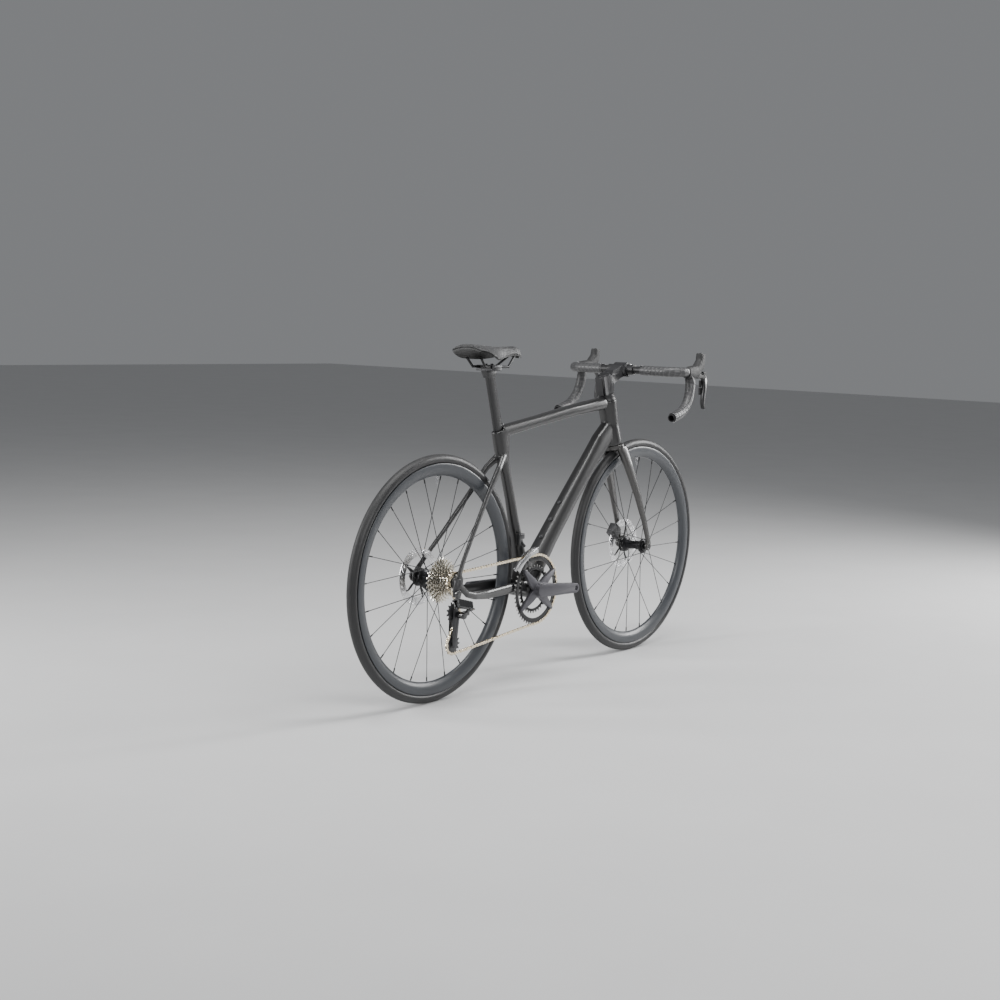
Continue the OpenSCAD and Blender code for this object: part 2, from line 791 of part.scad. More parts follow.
// Ventilated rotor: braking ring, five arms and a splined centre
module rotor_at(x, y) {
    about_y(x, y - rotor_t / 2, axle_z) linear_extrude(rotor_t)
        difference() {
            union() {
                difference() {
                    circle(r = rotor_r, $fn = 96);
                    circle(r = rotor_r - rotor_track, $fn = 96);
                }
                difference() {
                    circle(r = 26);
                    circle(r = 18.5);
                }
                for (k = [0 : 4])
                    rotate(72 * k) polygon([[20, -8], [44, 1], [66, -5], [66, 5], [42, 11], [18, 6]]);
            }
            for (k = [0 : 29])
                rotate(12 * k) translate([rotor_r - 8 + 3 * (k % 3 - 1), 0])
                    rotate(30) square([2.6, 7], center = true);
        }
}

module front_tyre() {
    color("#121213") tyre_at(front_x);
}

module front_rim() {
    color("#202124") rim_at(front_x);
}

module front_spokes() {
    color("#2d2d30") spokes_at(front_x, 26, 36);
}

module front_hub() {
    color("#1c1c1f") hub_at(front_x, front_dropout, 26, 36, 44);
    color("#1c1c1f") about_y(front_x, front_rotor_y - 1.9, axle_z) ring(18.4, 17.05, 3.8);
    color("#1c1c1f") about_y(front_x, -49.9, axle_z) ring(10, axle_r + 0.05, 5.8);
}

module front_rotor() {
    color("silver") rotor_at(front_x, front_rotor_y);
}

module rear_tyre() {
    color("#121213") tyre_at(rear_x);
}

module rear_rim() {
    color("#202124") rim_at(rear_x);
}

module rear_spokes() {
    color("#2d2d30") spokes_at(rear_x, 36, 19);
}

module rear_hub() {
    color("#1c1c1f") hub_at(rear_x, rear_dropout, 36, 19, 22.6);
    color("#1c1c1f") about_y(rear_x, rear_rotor_y - 2.4, axle_z) ring(18.4, 17.05, 4.2);
}

module rear_rotor() {
    color("silver") rotor_at(rear_x, rear_rotor_y);
}

// ---------------------------------------------------------------- drivetrain

// Outline of a sprocket; phase turns it so that a tooth gap sits where the chain first lands
module sprocket(teeth, bore_r, phase = 0) {
    r = pitch_r(teeth);
    difference() {
        polygon([
            for (i = [0 : teeth - 1]) for (k = [0 : 3])
                let (
                    t = phase + (i + [-0.30, -0.13, 0.13, 0.30][k]) * 360 / teeth,
                    q = k == 1 || k == 2 ? r + 2.4 : r - 4.1
                ) [q * cos(t), q * sin(t)]
        ]);
        circle(r = bore_r);
    }
}

module cassette() {
    color("silver")
        about_y(rear_x, 0, axle_z)
            for (i = [0 : len(cogs) - 1])
                translate([0, 0, cog_y0 - cog_pitch * i - 0.8]) linear_extrude(1.6)
                    sprocket(cogs[i], 17.3);
    color("#2a2a2d")
        about_y(rear_x, -rear_dropout + 0.3, axle_z) difference() {
            cylinder(h = 47.6, r = 17.25);
            translate([0, 0, -1]) cylinder(h = 60, r = axle_r + 0.05);
        }
}

// Chain path, seen from the right side in X and Z, wound from the ring's top rearwards
ring_c = [bb_x, bb_z];
cog_c = [rear_x, axle_z];
guide_c = [guide_pos[0], guide_pos[2]];
tension_c = [tension_pos[0], tension_pos[2]];
ring_r = pitch_r(ring_teeth);
cog_r = pitch_r(cogs[chain_cog]);
pulley_r = pitch_r(pulley_teeth);

function polar(c, r, t) = [c[0] + r * cos(t), c[1] + r * sin(t)];
function heading(a, b) = atan2(b[1] - a[1], b[0] - a[0]);

// Contact angles of the straight runs
top_dir = heading(ring_c, cog_c);
top_t = top_dir - acos((ring_r - cog_r) / norm(cog_c - ring_c));
back_dir = heading(cog_c, guide_c);
back_t = back_dir + acos((cog_r + pulley_r) / norm(guide_c - cog_c));
cage_dir = heading(guide_c, tension_c);
cage_t = cage_dir - acos(2 * pulley_r / norm(tension_c - guide_c));
low_dir = heading(tension_c, ring_c);
low_t = low_dir - acos((pulley_r - ring_r) / norm(ring_c - tension_c));

function arc_len(r, t0, t1) = r * abs(t1 - t0) * PI / 180;
function wrap_up(t, base) = t < base ? wrap_up(t + 360, base) : t;
function wrap_down(t, base) = t > base ? wrap_down(t - 360, base) : t;

cog_t0 = top_t;
cog_t1 = wrap_up(back_t, cog_t0);
guide_t0 = back_t + 180;
guide_t1 = wrap_down(cage_t, guide_t0);
tension_t0 = cage_t + 180;
tension_t1 = wrap_up(low_t, tension_t0);
ring_t0 = low_t;
ring_t1 = wrap_up(top_t, ring_t0);

top_a = polar(ring_c, ring_r, top_t);
top_b = polar(cog_c, cog_r, cog_t0);
back_a = polar(cog_c, cog_r, cog_t1);
back_b = polar(guide_c, pulley_r, guide_t0);
cage_a = polar(guide_c, pulley_r, guide_t1);
cage_b = polar(tension_c, pulley_r, tension_t0);
low_a = polar(tension_c, pulley_r, tension_t1);
low_b = polar(ring_c, ring_r, ring_t0);

// Segments: [length, start, end] for runs, [length, centre, radius, start angle, end angle] for arcs
segments = [
    [norm(top_b - top_a), top_a, top_b],
    [arc_len(cog_r, cog_t0, cog_t1), cog_c, cog_r, cog_t0, cog_t1],
    [norm(back_b - back_a), back_a, back_b],
    [arc_len(pulley_r, guide_t0, guide_t1), guide_c, pulley_r, guide_t0, guide_t1],
    [norm(cage_b - cage_a), cage_a, cage_b],
    [arc_len(pulley_r, tension_t0, tension_t1), tension_c, pulley_r, tension_t0, tension_t1],
    [norm(low_b - low_a), low_a, low_b],
    [arc_len(ring_r, ring_t0, ring_t1), ring_c, ring_r, ring_t0, ring_t1]
];
function sum(list, n) = n <= 0 ? 0 : list[n - 1][0] + sum(list, n - 1);
loop_len = sum(segments, 8);
link_count = 2 * round(loop_len / pitch / 2);
link_step = loop_len / link_count;

function on_segment(g, t) = len(g) == 3
    ? g[1] + (g[2] - g[1]) * t
    : polar(g[1], g[2], g[3] + (g[4] - g[3]) * t);
function place(d, k = 0) = d <= segments[k][0] || k == 7
    ? on_segment(segments[k], d / segments[k][0])
    : place(d - segments[k][0], k + 1);
function side_y(p) = ring_y + (cog_y - ring_y) * ease(0.02, 0.98, (ring_c[0] - p[0]) / (ring_c[0] - cog_c[0]));
function pin(i) = let (p = place((i % link_count) * link_step)) [p[0], side_y(p), p[1]];

module chain() {
    color("#b9b2a4")
        for (i = [0 : link_count - 1]) for (y = [-2.5, 1.3])
            hull() {
                for (p = [pin(i), pin(i + 1)])
                    about_y(p[0], p[1] + y, p[2]) cylinder(h = 1.2, r = plate_h / 2, $fn = 6);
            }
}

module spider_arm(t) {
    rotate(t) polygon([[0, -14], [40, -13], [86, -5.5], [94, -3.5], [94, 3.5], [86, 5.5], [40, 13], [0, 14]]);
}

module at_crank() {
    translate([bb_x, 0, bb_z]) rotate([0, -crank_angle, 0]) children();
}

function arm_outline() = concat(
    [for (t = [90 : 15 : 270]) [19 * cos(t), 19 * sin(t)]],
    [[44, -19], [110, -16.2], [crank_length - 4, -14.5]],
    [for (t = [-75 : 15 : 75]) [crank_length + 15 * cos(t), 14.5 * sin(t)]],
    [[crank_length - 4, 14.5], [110, 16.2], [44, 19]]
);

module right_crank() {
    color("#2e3034")
        at_crank() {
            difference() {
                union() {
                    side_plate(-73, -58) polygon(arm_outline());
                    side_plate(-58, -48.05) {
                        for (t = [38, 142, 218, 322])
                            spider_arm(t);
                        circle(r = 24);
                    }
                    about_y(0, -58, 0) cylinder(h = 129, r = spindle_r);
                }
                about_y(crank_length, -80, 0) cylinder(h = 30, r = 7.14);
            }
        }
}

module left_crank() {
    color("#2e3034")
        at_crank() mirror([1, 0, 0])
            difference() {
                side_plate(58, 73) polygon(arm_outline());
                about_y(0, 50, 0) cylinder(h = 30, r = spindle_r + 0.05);
                about_y(crank_length, 50, 0) cylinder(h = 30, r = 7.14);
            }
}

module chainrings() {
    color("#1f2022")
        at_crank() {
            translate([0, ring_y + 0.9, 0]) rotate([90, 0, 0]) linear_extrude(1.8)
                sprocket(ring_teeth, 84, ring_phase);
            translate([0, small_ring_y + 0.9, 0]) rotate([90, 0, 0]) linear_extrude(1.8)
                sprocket(small_ring_teeth, 57);
            side_plate(-45.95, -40.5)
                for (t = [38, 142, 218, 322])
                    rotate(t) translate([58, -5]) square([9, 10]);
            side_plate(-45.95, -44.8)
                for (t = [38, 142, 218, 322])
                    rotate(t) translate([66, -5]) square([24, 10]);
        }
}
ring_phase = top_t - crank_angle + 180 / ring_teeth;

module pulley(pos, phase) {
    translate([pos[0], pos[1] + 0.8, pos[2]]) rotate([90, 0, 0]) linear_extrude(1.6)
        sprocket(pulley_teeth, 3.05, phase);
}

module guide_pulley() {
    color("#1d1d1f") pulley(guide_pos, 0);
}

module tension_pulley() {
    color("#1d1d1f") pulley(tension_pos, 0);
}

// ---------------------------------------------------------------- rear derailleur

hanger_bolt = [rear_x - 7, -85.1, axle_z - 29];
rd_slope = 15;
rd_swing = 12;
rd_drop = 25;
rd_len = 46;
// Directions of the parallelogram: mid_dir at mid travel, move_dir inboard, pin_dir along the pins
mid_dir = [cos(rd_slope), 0, -sin(rd_slope)];
move_dir = [-sin(rd_slope) * sin(rd_drop), cos(rd_drop), -cos(rd_slope) * sin(rd_drop)];
pin_dir = cross(mid_dir, move_dir);
link_dir = mid_dir * cos(rd_swing) - move_dir * sin(rd_swing);
across_dir = cross(pin_dir, link_dir);
rd_b_pin = [rear_x - 9, -88, axle_z - 57];

// Local frame at the base pins: X along the links, Y across them, Z along the pins
module at_links() {
    multmatrix([
        [link_dir[0], across_dir[0], pin_dir[0], rd_b_pin[0]],
        [link_dir[1], across_dir[1], pin_dir[1], rd_b_pin[1]],
        [link_dir[2], across_dir[2], pin_dir[2], rd_b_pin[2]],
        [0, 0, 0, 1]
    ]) children();
}

link_gap = 7;

module rd_base() {
    color("#2a2b2e") {
        about_y(hanger_bolt[0], hanger_bolt[1] - 10, hanger_bolt[2]) cylinder(h = 9.9, r = 9.5);
        about_y(hanger_bolt[0], hanger_bolt[1] - 0.2, hanger_bolt[2]) cylinder(h = 6.2, r = 5);
        at_links() {
            translate([-9, -11, 9.2]) cube([18, 18, 4]);
            for (y = [-link_gap, link_gap])
                translate([0, y - 2, -8.9]) cylinder(h = 18.2, r = 1.6);
        }
        translate([hanger_bolt[0] - 7, hanger_bolt[1] - 10, axle_z - 43]) cube([14, 9.9, 12]);
    }
}

module link_plate(y, t) {
    difference() {
        translate([-4, y - 2 - t, -8]) cube([rd_len + 8, 2 * t, 16]);
        for (x = [0, rd_len])
            translate([x, y - 2, -20]) cylinder(h = 40, r = 1.65);
    }
}

module rd_outer_link() {
    color("#303236") at_links() link_plate(-link_gap, 3.6);
}

module rd_inner_link() {
    color("#26272a") at_links() link_plate(link_gap, 3.2);
}

module rd_p_knuckle() {
    color("#2a2b2e") {
        at_links() {
            translate([rd_len - 9, -11, -13.2]) cube([18, 18, 4]);
            for (y = [-link_gap, link_gap])
                translate([rd_len, y - 2, -9.3]) cylinder(h = 18.2, r = 1.6);
        }
        about_y(cage_pivot[0], -98, cage_pivot[2]) cylinder(h = 26, r = 9);
        translate([cage_pivot[0] - 3, -98, cage_pivot[2]]) cube([22, 9, 11.5]);
        about_y(cage_pivot[0], -72.1, cage_pivot[2]) cylinder(h = 4, r = 3.5);
    }
}

cage_pivot = [guide_pos[0] + 10, -72, guide_pos[2] - 8];

module cage_outline(pad) {
    polygon([
        [guide_c[0] - 8 - pad, guide_c[1] + 8], [guide_c[0] + 2, guide_c[1] + 12 + pad],
        [guide_c[0] + 20 + pad, guide_c[1] - 2], [tension_c[0] + 9 + pad, tension_c[1] + 4],
        [tension_c[0] + 6, tension_c[1] - 9 - pad], [tension_c[0] - 6, tension_c[1] - 9 - pad],
        [tension_c[0] - 10 - pad, tension_c[1] + 4]
    ]);
}

module rd_cage() {
    color("#2c2d30") {
        difference() {
            side_plate(-71.9, -69.9) cage_outline(0);
            about_y(cage_pivot[0], -80, cage_pivot[2]) cylinder(h = 20, r = 3.55);
        }
        side_plate(-56.6, -55) cage_outline(-2);
        for (p = [guide_pos, tension_pos])
            about_y(p[0], -70, p[2]) cylinder(h = 15, r = 3);
    }
}

// ---------------------------------------------------------------- front derailleur

fd_pin = [-148, -24, 412];
fd_tip = fd_pin + [14, -13, -16];

module front_derailleur_body() {
    color("#28292c") {
        translate([-158, -31.6, 402]) cube([10, 12.6, 34]);
        translate([-148.1, -31.6, 420]) cube([16, 12.6, 16]);
    }
}

module fd_link() {
    color("#333438") rod(fd_pin + [5, -4, 0], fd_tip + [-3, 0, 2], 4);
}

module fd_plate() {
    polygon(concat(
        [for (t = [93 : 6 : 147]) polar(ring_c, ring_r + 7.6, t)],
        [for (t = [147 : -6 : 93]) polar(ring_c, ring_r + 24, t)]
    ));
}

module fd_cage() {
    color("#9a9c9f") {
        side_plate(-56.2, -55) fd_plate();
        side_plate(-43.6, -42.4) fd_plate();
        side_plate(-55, -43.6)
            polygon([for (t = [93, 99]) polar(ring_c, ring_r + 21, t), for (t = [99, 93]) polar(ring_c, ring_r + 24, t)]);
    }
}

frame();
bottom_bracket_cups();
headset_bearings();
bottle_bosses();
derailleur_hanger();
rear_thru_axle();
seat_clamp_wedge();
rear_brake_caliper();
chain();
front_derailleur_body();
seatpost();
saddle_clamp();
saddle_rails();
saddle_base();
saddle_pad();
fork();
front_thru_axle();
headset_spacers();
stem();
stem_faceplate();
stem_hardware();
handlebar();
bar_tape();
lever_hoods();
front_brake_caliper();
right_brake_lever();
left_brake_lever();
right_upshift_switch();
right_downshift_switch();
left_upshift_switch();
left_downshift_switch();
right_hood_button();
left_hood_button();
front_outer_pad();
front_inner_pad();
rear_outer_pad();
rear_inner_pad();
front_tyre();
front_rim();
front_spokes();
front_hub();
front_rotor();
rear_tyre();
rear_rim();
rear_spokes();
rear_hub();
rear_rotor();
cassette();
right_crank();
chainrings();
left_crank();
rd_base();
rd_outer_link();
rd_inner_link();
rd_p_knuckle();
rd_cage();
guide_pulley();
tension_pulley();
fd_link();
fd_cage();
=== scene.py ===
import math
import json
import bpy
from mathutils import Matrix, Vector


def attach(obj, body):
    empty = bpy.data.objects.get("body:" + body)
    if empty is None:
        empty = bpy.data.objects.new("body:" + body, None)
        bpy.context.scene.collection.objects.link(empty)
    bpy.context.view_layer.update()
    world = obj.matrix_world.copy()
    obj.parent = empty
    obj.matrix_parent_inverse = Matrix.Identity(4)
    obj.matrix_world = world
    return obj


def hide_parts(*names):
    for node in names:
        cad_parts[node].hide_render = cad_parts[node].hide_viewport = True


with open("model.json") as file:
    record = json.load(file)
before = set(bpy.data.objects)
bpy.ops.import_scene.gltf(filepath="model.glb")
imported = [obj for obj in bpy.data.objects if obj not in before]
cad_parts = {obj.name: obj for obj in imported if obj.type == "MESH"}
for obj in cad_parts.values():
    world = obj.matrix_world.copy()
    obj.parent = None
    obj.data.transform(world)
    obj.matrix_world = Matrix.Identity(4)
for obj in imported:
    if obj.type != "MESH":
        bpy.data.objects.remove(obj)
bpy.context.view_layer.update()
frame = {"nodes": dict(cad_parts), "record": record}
print("frame loaded")

axleZ = 0.340
frontX = 0.4965
rearX = -0.4965
tyreOuter = 0.340


# small helpers for the edit-mode work
def deselectAll():
    if bpy.context.mode != "OBJECT":
        bpy.ops.object.mode_set(mode="OBJECT")
    bpy.ops.object.select_all(action="DESELECT")


def activate(piece):
    deselectAll()
    piece.select_set(True)
    bpy.context.view_layer.objects.active = piece


def enterEdit(piece, kind="VERT"):
    activate(piece)
    bpy.ops.object.mode_set(mode="EDIT")
    bpy.ops.mesh.select_mode(type=kind)
    bpy.ops.mesh.select_all(action="DESELECT")


def leaveEdit():
    bpy.ops.object.mode_set(mode="OBJECT")


def pickVerts(piece, test):
    # selects the vertices whose place passes the test, then goes back to editing
    bpy.ops.object.mode_set(mode="OBJECT")
    for v in piece.data.vertices:
        v.select = test(v.co)
    bpy.ops.object.mode_set(mode="EDIT")


def pickFaces(piece, test):
    bpy.ops.mesh.select_mode(type="FACE")
    bpy.ops.mesh.select_all(action="DESELECT")
    bpy.ops.object.mode_set(mode="OBJECT")
    for f in piece.data.polygons:
        f.select = test(f)
    bpy.ops.object.mode_set(mode="EDIT")


def applied(piece, kind, **settings):
    activate(piece)
    mod = piece.modifiers.new(kind.lower(), kind)
    for key, value in settings.items():
        setattr(mod, key, value)
    bpy.ops.object.modifier_apply(modifier=mod.name)


def settle(piece, name=None, angle=35):
    # puts the place into the mesh and smooths the shading
    activate(piece)
    bpy.ops.object.transform_apply(location=True, rotation=True, scale=True)
    bpy.ops.object.shade_smooth_by_angle(angle=math.radians(angle))
    if name:
        piece.name = name
        piece.data.name = name
    return piece


def cleanUp(piece, merge=0.00002):
    enterEdit(piece)
    bpy.ops.mesh.select_all(action="SELECT")
    bpy.ops.mesh.remove_doubles(threshold=merge)
    bpy.ops.mesh.normals_make_consistent(inside=False)
    leaveEdit()


def nodeCopy(node, name):
    source = frame["nodes"][node]
    piece = source.copy()
    piece.data = source.data.copy()
    piece.parent = None
    piece.matrix_world = Matrix.Identity(4)
    piece.name = name
    bpy.context.scene.collection.objects.link(piece)
    enterEdit(piece)
    bpy.ops.mesh.select_all(action="SELECT")
    bpy.ops.mesh.remove_doubles(threshold=0.000004)
    leaveEdit()
    return piece


def copied(piece, name, move=(0, 0, 0), scale=(1, 1, 1)):
    other = piece.copy()
    other.data = piece.data.copy()
    other.name = name
    bpy.context.scene.collection.objects.link(other)
    other.location = move
    other.scale = scale
    activate(other)
    bpy.ops.object.transform_apply(location=True, rotation=True, scale=True)
    if scale[0] * scale[1] * scale[2] < 0:
        enterEdit(other)
        bpy.ops.mesh.select_all(action="SELECT")
        bpy.ops.mesh.normals_make_consistent(inside=False)
        leaveEdit()
    return other


def joined(parts, name):
    deselectAll()
    for p in parts:
        p.select_set(True)
    bpy.context.view_layer.objects.active = parts[0]
    bpy.ops.object.join()
    parts[0].name = name
    parts[0].data.name = name
    return parts[0]


def spinRound(piece, x, steps):
    # turns the selected section once round the wheel's axle at x
    bpy.ops.mesh.spin(steps=steps, angle=math.tau, center=(x, 0, axleZ), axis=(0, 1, 0))


def ride(piece, body, slot, *nodes):
    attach(piece, body)
    if nodes:
        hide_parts(*nodes)
    return piece


# shader node groups
def makeGroup(name, inputs, outputs):
    group = bpy.data.node_groups.new(name, "ShaderNodeTree")
    for label, kind, value in inputs:
        socket = group.interface.new_socket(name=label, in_out="INPUT", socket_type=kind)
        socket.default_value = value
    for label, kind in outputs:
        group.interface.new_socket(name=label, in_out="OUTPUT", socket_type=kind)
    start = group.nodes.new("NodeGroupInput")
    end = group.nodes.new("NodeGroupOutput")
    return group, start, end


def noiseAt(nodes, links, vector, scale, detail=3.0, rough=0.55):
    noise = nodes.new("ShaderNodeTexNoise")
    noise.inputs["Detail"].default_value = detail
    noise.inputs["Roughness"].default_value = rough
    links.new(vector, noise.inputs["Vector"])
    if isinstance(scale, (int, float)):
        noise.inputs["Scale"].default_value = scale
    else:
        links.new(scale, noise.inputs["Scale"])
    return noise.outputs[0]


def mathNode(nodes, links, kind, a, b=None, clamp=False):
    node = nodes.new("ShaderNodeMath")
    node.operation = kind
    node.use_clamp = clamp
    for k, v in enumerate((a, b)):
        if v is None:
            continue
        if isinstance(v, (int, float)):
            node.inputs[k].default_value = v
        else:
            links.new(v, node.inputs[k])
    return node.outputs[0]


def mixColours(nodes, links, factor, a, b):
    mix = nodes.new("ShaderNodeMix")
    mix.data_type = "RGBA"
    if isinstance(factor, (int, float)):
        mix.inputs[0].default_value = factor
    else:
        links.new(factor, mix.inputs[0])
    for socket, value in ((mix.inputs[6], a), (mix.inputs[7], b)):
        if isinstance(value, tuple):
            socket.default_value = (*value, 1)
        else:
            links.new(value, socket)
    return mix.outputs[2]


def buildSurfaceGroup():
    # broad and fine variation for paint, metal and rubber alike
    group, start, end = makeGroup("surfaceVariation", [
        ("Vector", "NodeSocketVector", (0, 0, 0)),
        ("Broad Scale", "NodeSocketFloat", 6.0),
        ("Fine Scale", "NodeSocketFloat", 400.0),
        ("Rough Low", "NodeSocketFloat", 0.3),
        ("Rough High", "NodeSocketFloat", 0.45),
    ], [("Tone", "NodeSocketFloat"), ("Roughness", "NodeSocketFloat"), ("Height", "NodeSocketFloat")])
    n, l = group.nodes, group.links
    broad = noiseAt(n, l, start.outputs["Vector"], start.outputs["Broad Scale"], 4.0)
    fine = noiseAt(n, l, start.outputs["Vector"], start.outputs["Fine Scale"], 2.0)
    tone = mathNode(n, l, "ADD", mathNode(n, l, "MULTIPLY", broad, 0.7),
                    mathNode(n, l, "MULTIPLY", fine, 0.3))
    span = mathNode(n, l, "SUBTRACT", start.outputs["Rough High"], start.outputs["Rough Low"])
    rough = mathNode(n, l, "MULTIPLY_ADD", tone, span)
    l.new(start.outputs["Rough Low"], rough.node.inputs[2])
    l.new(tone, end.inputs["Tone"])
    l.new(rough, end.inputs["Roughness"])
    l.new(fine, end.inputs["Height"])
    return group


def buildDustGroup():
    # pale dust in patches, thicker on faces that look up
    group, start, end = makeGroup("settledDust", [
        ("Vector", "NodeSocketVector", (0, 0, 0)), ("Amount", "NodeSocketFloat", 0.1),
    ], [("Mask", "NodeSocketFloat")])
    n, l = group.nodes, group.links
    geometry = n.new("ShaderNodeNewGeometry")
    split = n.new("ShaderNodeSeparateXYZ")
    l.new(geometry.outputs["Normal"], split.inputs[0])
    up = mathNode(n, l, "MAXIMUM", split.outputs["Z"], 0.0)
    patches = noiseAt(n, l, start.outputs["Vector"], 40.0, 6.0, 0.7)
    patches = mathNode(n, l, "SUBTRACT", patches, 0.42, clamp=True)
    mask = mathNode(n, l, "MULTIPLY", mathNode(n, l, "ADD", up, 0.25), patches)
    mask = mathNode(n, l, "MULTIPLY", mask, start.outputs["Amount"], clamp=True)
    l.new(mask, end.inputs["Mask"])
    return group


def buildEdgeGroup():
    # rubbed edges, and on the tape a painted highlight along each edge, from how sharply the surface turns
    group, start, end = makeGroup("wornAndHighlitEdges", [
        ("Vector", "NodeSocketVector", (0, 0, 0)), ("Amount", "NodeSocketFloat", 0.5),
    ], [("Mask", "NodeSocketFloat")])
    n, l = group.nodes, group.links
    geometry = n.new("ShaderNodeNewGeometry")
    ramp = n.new("ShaderNodeMapRange")
    ramp.inputs["From Min"].default_value = 0.52
    ramp.inputs["From Max"].default_value = 0.6
    l.new(geometry.outputs["Pointiness"], ramp.inputs["Value"])
    broken = noiseAt(n, l, start.outputs["Vector"], 160.0, 5.0, 0.65)
    mask = mathNode(n, l, "MULTIPLY", ramp.outputs[0], broken)
    mask = mathNode(n, l, "MULTIPLY", mask, start.outputs["Amount"], clamp=True)
    l.new(mask, end.inputs["Mask"])
    return group


surfaceGroup = buildSurfaceGroup()
dustGroup = buildDustGroup()
edgeGroup = buildEdgeGroup()


def placeGroup(nodes, links, group, vector, **values):
    node = nodes.new("ShaderNodeGroup")
    node.node_tree = group
    links.new(vector, node.inputs["Vector"])
    for label, value in values.items():
        node.inputs[label.replace("_", " ")].default_value = value
    return node


def makeFinish(name, base, second, rough=(0.3, 0.45), metallic=0.0, coat=0.0, coatRough=0.05, sheen=0.0,
               broad=6.0, fine=400.0, bump=0.02, bumpDistance=0.0002, edge=0.0, edgeTone=(0.5, 0.5, 0.5),
               dust=0.05, centre=(0, 0, 0), stretch=(1, 1, 1), specular=0.5, relief=None, tint=None):
    # relief and tint add a pattern of the piece's own: each takes nodes, links and the vector
    material = bpy.data.materials.new(name)
    material.use_nodes = True
    n, l = material.node_tree.nodes, material.node_tree.links
    shader = n["Principled BSDF"]
    coord = n.new("ShaderNodeTexCoord")
    mapping = n.new("ShaderNodeMapping")
    mapping.inputs["Location"].default_value = [-c * s for c, s in zip(centre, stretch)]
    mapping.inputs["Scale"].default_value = stretch
    l.new(coord.outputs["Object"], mapping.inputs["Vector"])
    vector = mapping.outputs[0]
    surface = placeGroup(n, l, surfaceGroup, vector, Broad_Scale=broad, Fine_Scale=fine,
                         Rough_Low=rough[0], Rough_High=rough[1])
    colour = mixColours(n, l, surface.outputs["Tone"], base, second)
    height = surface.outputs["Height"]
    roughness = surface.outputs["Roughness"]
    if tint:
        colour, roughness = tint(n, l, vector, colour, roughness)
    # lighter edges: rubbed wear on most finishes, a painted highlight along the laps on the tape
    if edge:
        wearAndHighlightMask = placeGroup(n, l, edgeGroup, coord.outputs["Object"], Amount=edge)
        colour = mixColours(n, l, wearAndHighlightMask.outputs["Mask"], colour, edgeTone)
    if dust:
        settled = placeGroup(n, l, dustGroup, coord.outputs["Object"], Amount=dust)
        colour = mixColours(n, l, settled.outputs["Mask"], colour, (0.42, 0.4, 0.37))
        roughness = mathNode(n, l, "ADD", roughness, mathNode(n, l, "MULTIPLY", settled.outputs["Mask"], 0.5),
                             True)
    bumpNode = n.new("ShaderNodeBump")
    bumpNode.inputs["Strength"].default_value = 1.0
    bumpNode.inputs["Distance"].default_value = bumpDistance
    height = mathNode(n, l, "MULTIPLY", height, bump / 0.02)
    if relief:
        height = mathNode(n, l, "ADD", height, relief(n, l, vector))
    l.new(height, bumpNode.inputs["Height"])
    l.new(bumpNode.outputs[0], shader.inputs["Normal"])
    l.new(colour, shader.inputs["Base Color"])
    l.new(roughness, shader.inputs["Roughness"])
    shader.inputs["Metallic"].default_value = metallic
    shader.inputs["Coat Weight"].default_value = coat
    shader.inputs["Coat Roughness"].default_value = coatRough
    shader.inputs["Sheen Weight"].default_value = sheen
    shader.inputs["Specular IOR Level"].default_value = specular
    return material


finishes = {}


def addFinish(name, *args, **settings):
    finishes[name] = makeFinish(name, *args, **settings)


addFinish("framePaint", (0.006, 0.006, 0.007), (0.011, 0.0105, 0.0105), rough=(0.36, 0.46), coat=0.4,
          coatRough=0.14,
          fine=900, bump=0.004, dust=0.03)
addFinish("forkPaint", (0.02, 0.019, 0.018), (0.036, 0.033, 0.031), rough=(0.3, 0.42), coat=0.6,
          coatRough=0.18,
          fine=900, bump=0.006, dust=0.03)
addFinish("barPaint", (0.008, 0.008, 0.009), (0.014, 0.014, 0.015), rough=(0.36, 0.5), fine=1200, bump=0.01,
          edge=0.3, edgeTone=(0.05, 0.05, 0.055))
addFinish("spokeSteel", (0.012, 0.012, 0.013), (0.025, 0.025, 0.027), rough=(0.3, 0.5), metallic=0.6,
          fine=700)
addFinish("hubShell", (0.012, 0.012, 0.014), (0.022, 0.022, 0.024), rough=(0.28, 0.42), metallic=0.7,
          fine=900,
          edge=0.5, edgeTone=(0.2, 0.2, 0.2))
addFinish("rotorCarrier", (0.01, 0.01, 0.011), (0.02, 0.02, 0.021), rough=(0.35, 0.5), metallic=0.6, fine=900,
          edge=0.5, edgeTone=(0.25, 0.25, 0.25))
addFinish("blackAlloy", (0.011, 0.011, 0.012), (0.02, 0.02, 0.022), rough=(0.32, 0.46), metallic=0.5,
          fine=900,
          edge=0.6, edgeTone=(0.2, 0.2, 0.21))
addFinish("brightSteel", (0.55, 0.55, 0.56), (0.7, 0.7, 0.71), rough=(0.12, 0.22), metallic=1.0, fine=600)
addFinish("bearingSteel", (0.3, 0.3, 0.31), (0.42, 0.42, 0.43), rough=(0.2, 0.35), metallic=1.0, fine=600)
addFinish("crankPaint", (0.075, 0.073, 0.084), (0.1, 0.097, 0.108), rough=(0.36, 0.48), metallic=0.65,
          coat=0.15,
          coatRough=0.15, fine=1200, bump=0.006, edge=0.5, edgeTone=(0.16, 0.16, 0.17))
addFinish("ringAlloy", (0.014, 0.014, 0.015), (0.026, 0.026, 0.028), rough=(0.28, 0.4), metallic=0.8,
          fine=900,
          edge=1.4, edgeTone=(0.75, 0.74, 0.72))
addFinish("cassetteSteel", (0.62, 0.58, 0.5), (0.82, 0.79, 0.72), rough=(0.16, 0.3), metallic=1.0, fine=500,
          edge=0.4, edgeTone=(0.85, 0.85, 0.83))
addFinish("chainSteel", (0.7, 0.6, 0.44), (0.88, 0.8, 0.65), rough=(0.16, 0.3), metallic=1.0, fine=700,
          dust=0.0)
addFinish("cageSteel", (0.4, 0.4, 0.41), (0.55, 0.55, 0.56), rough=(0.2, 0.34), metallic=1.0, fine=700)
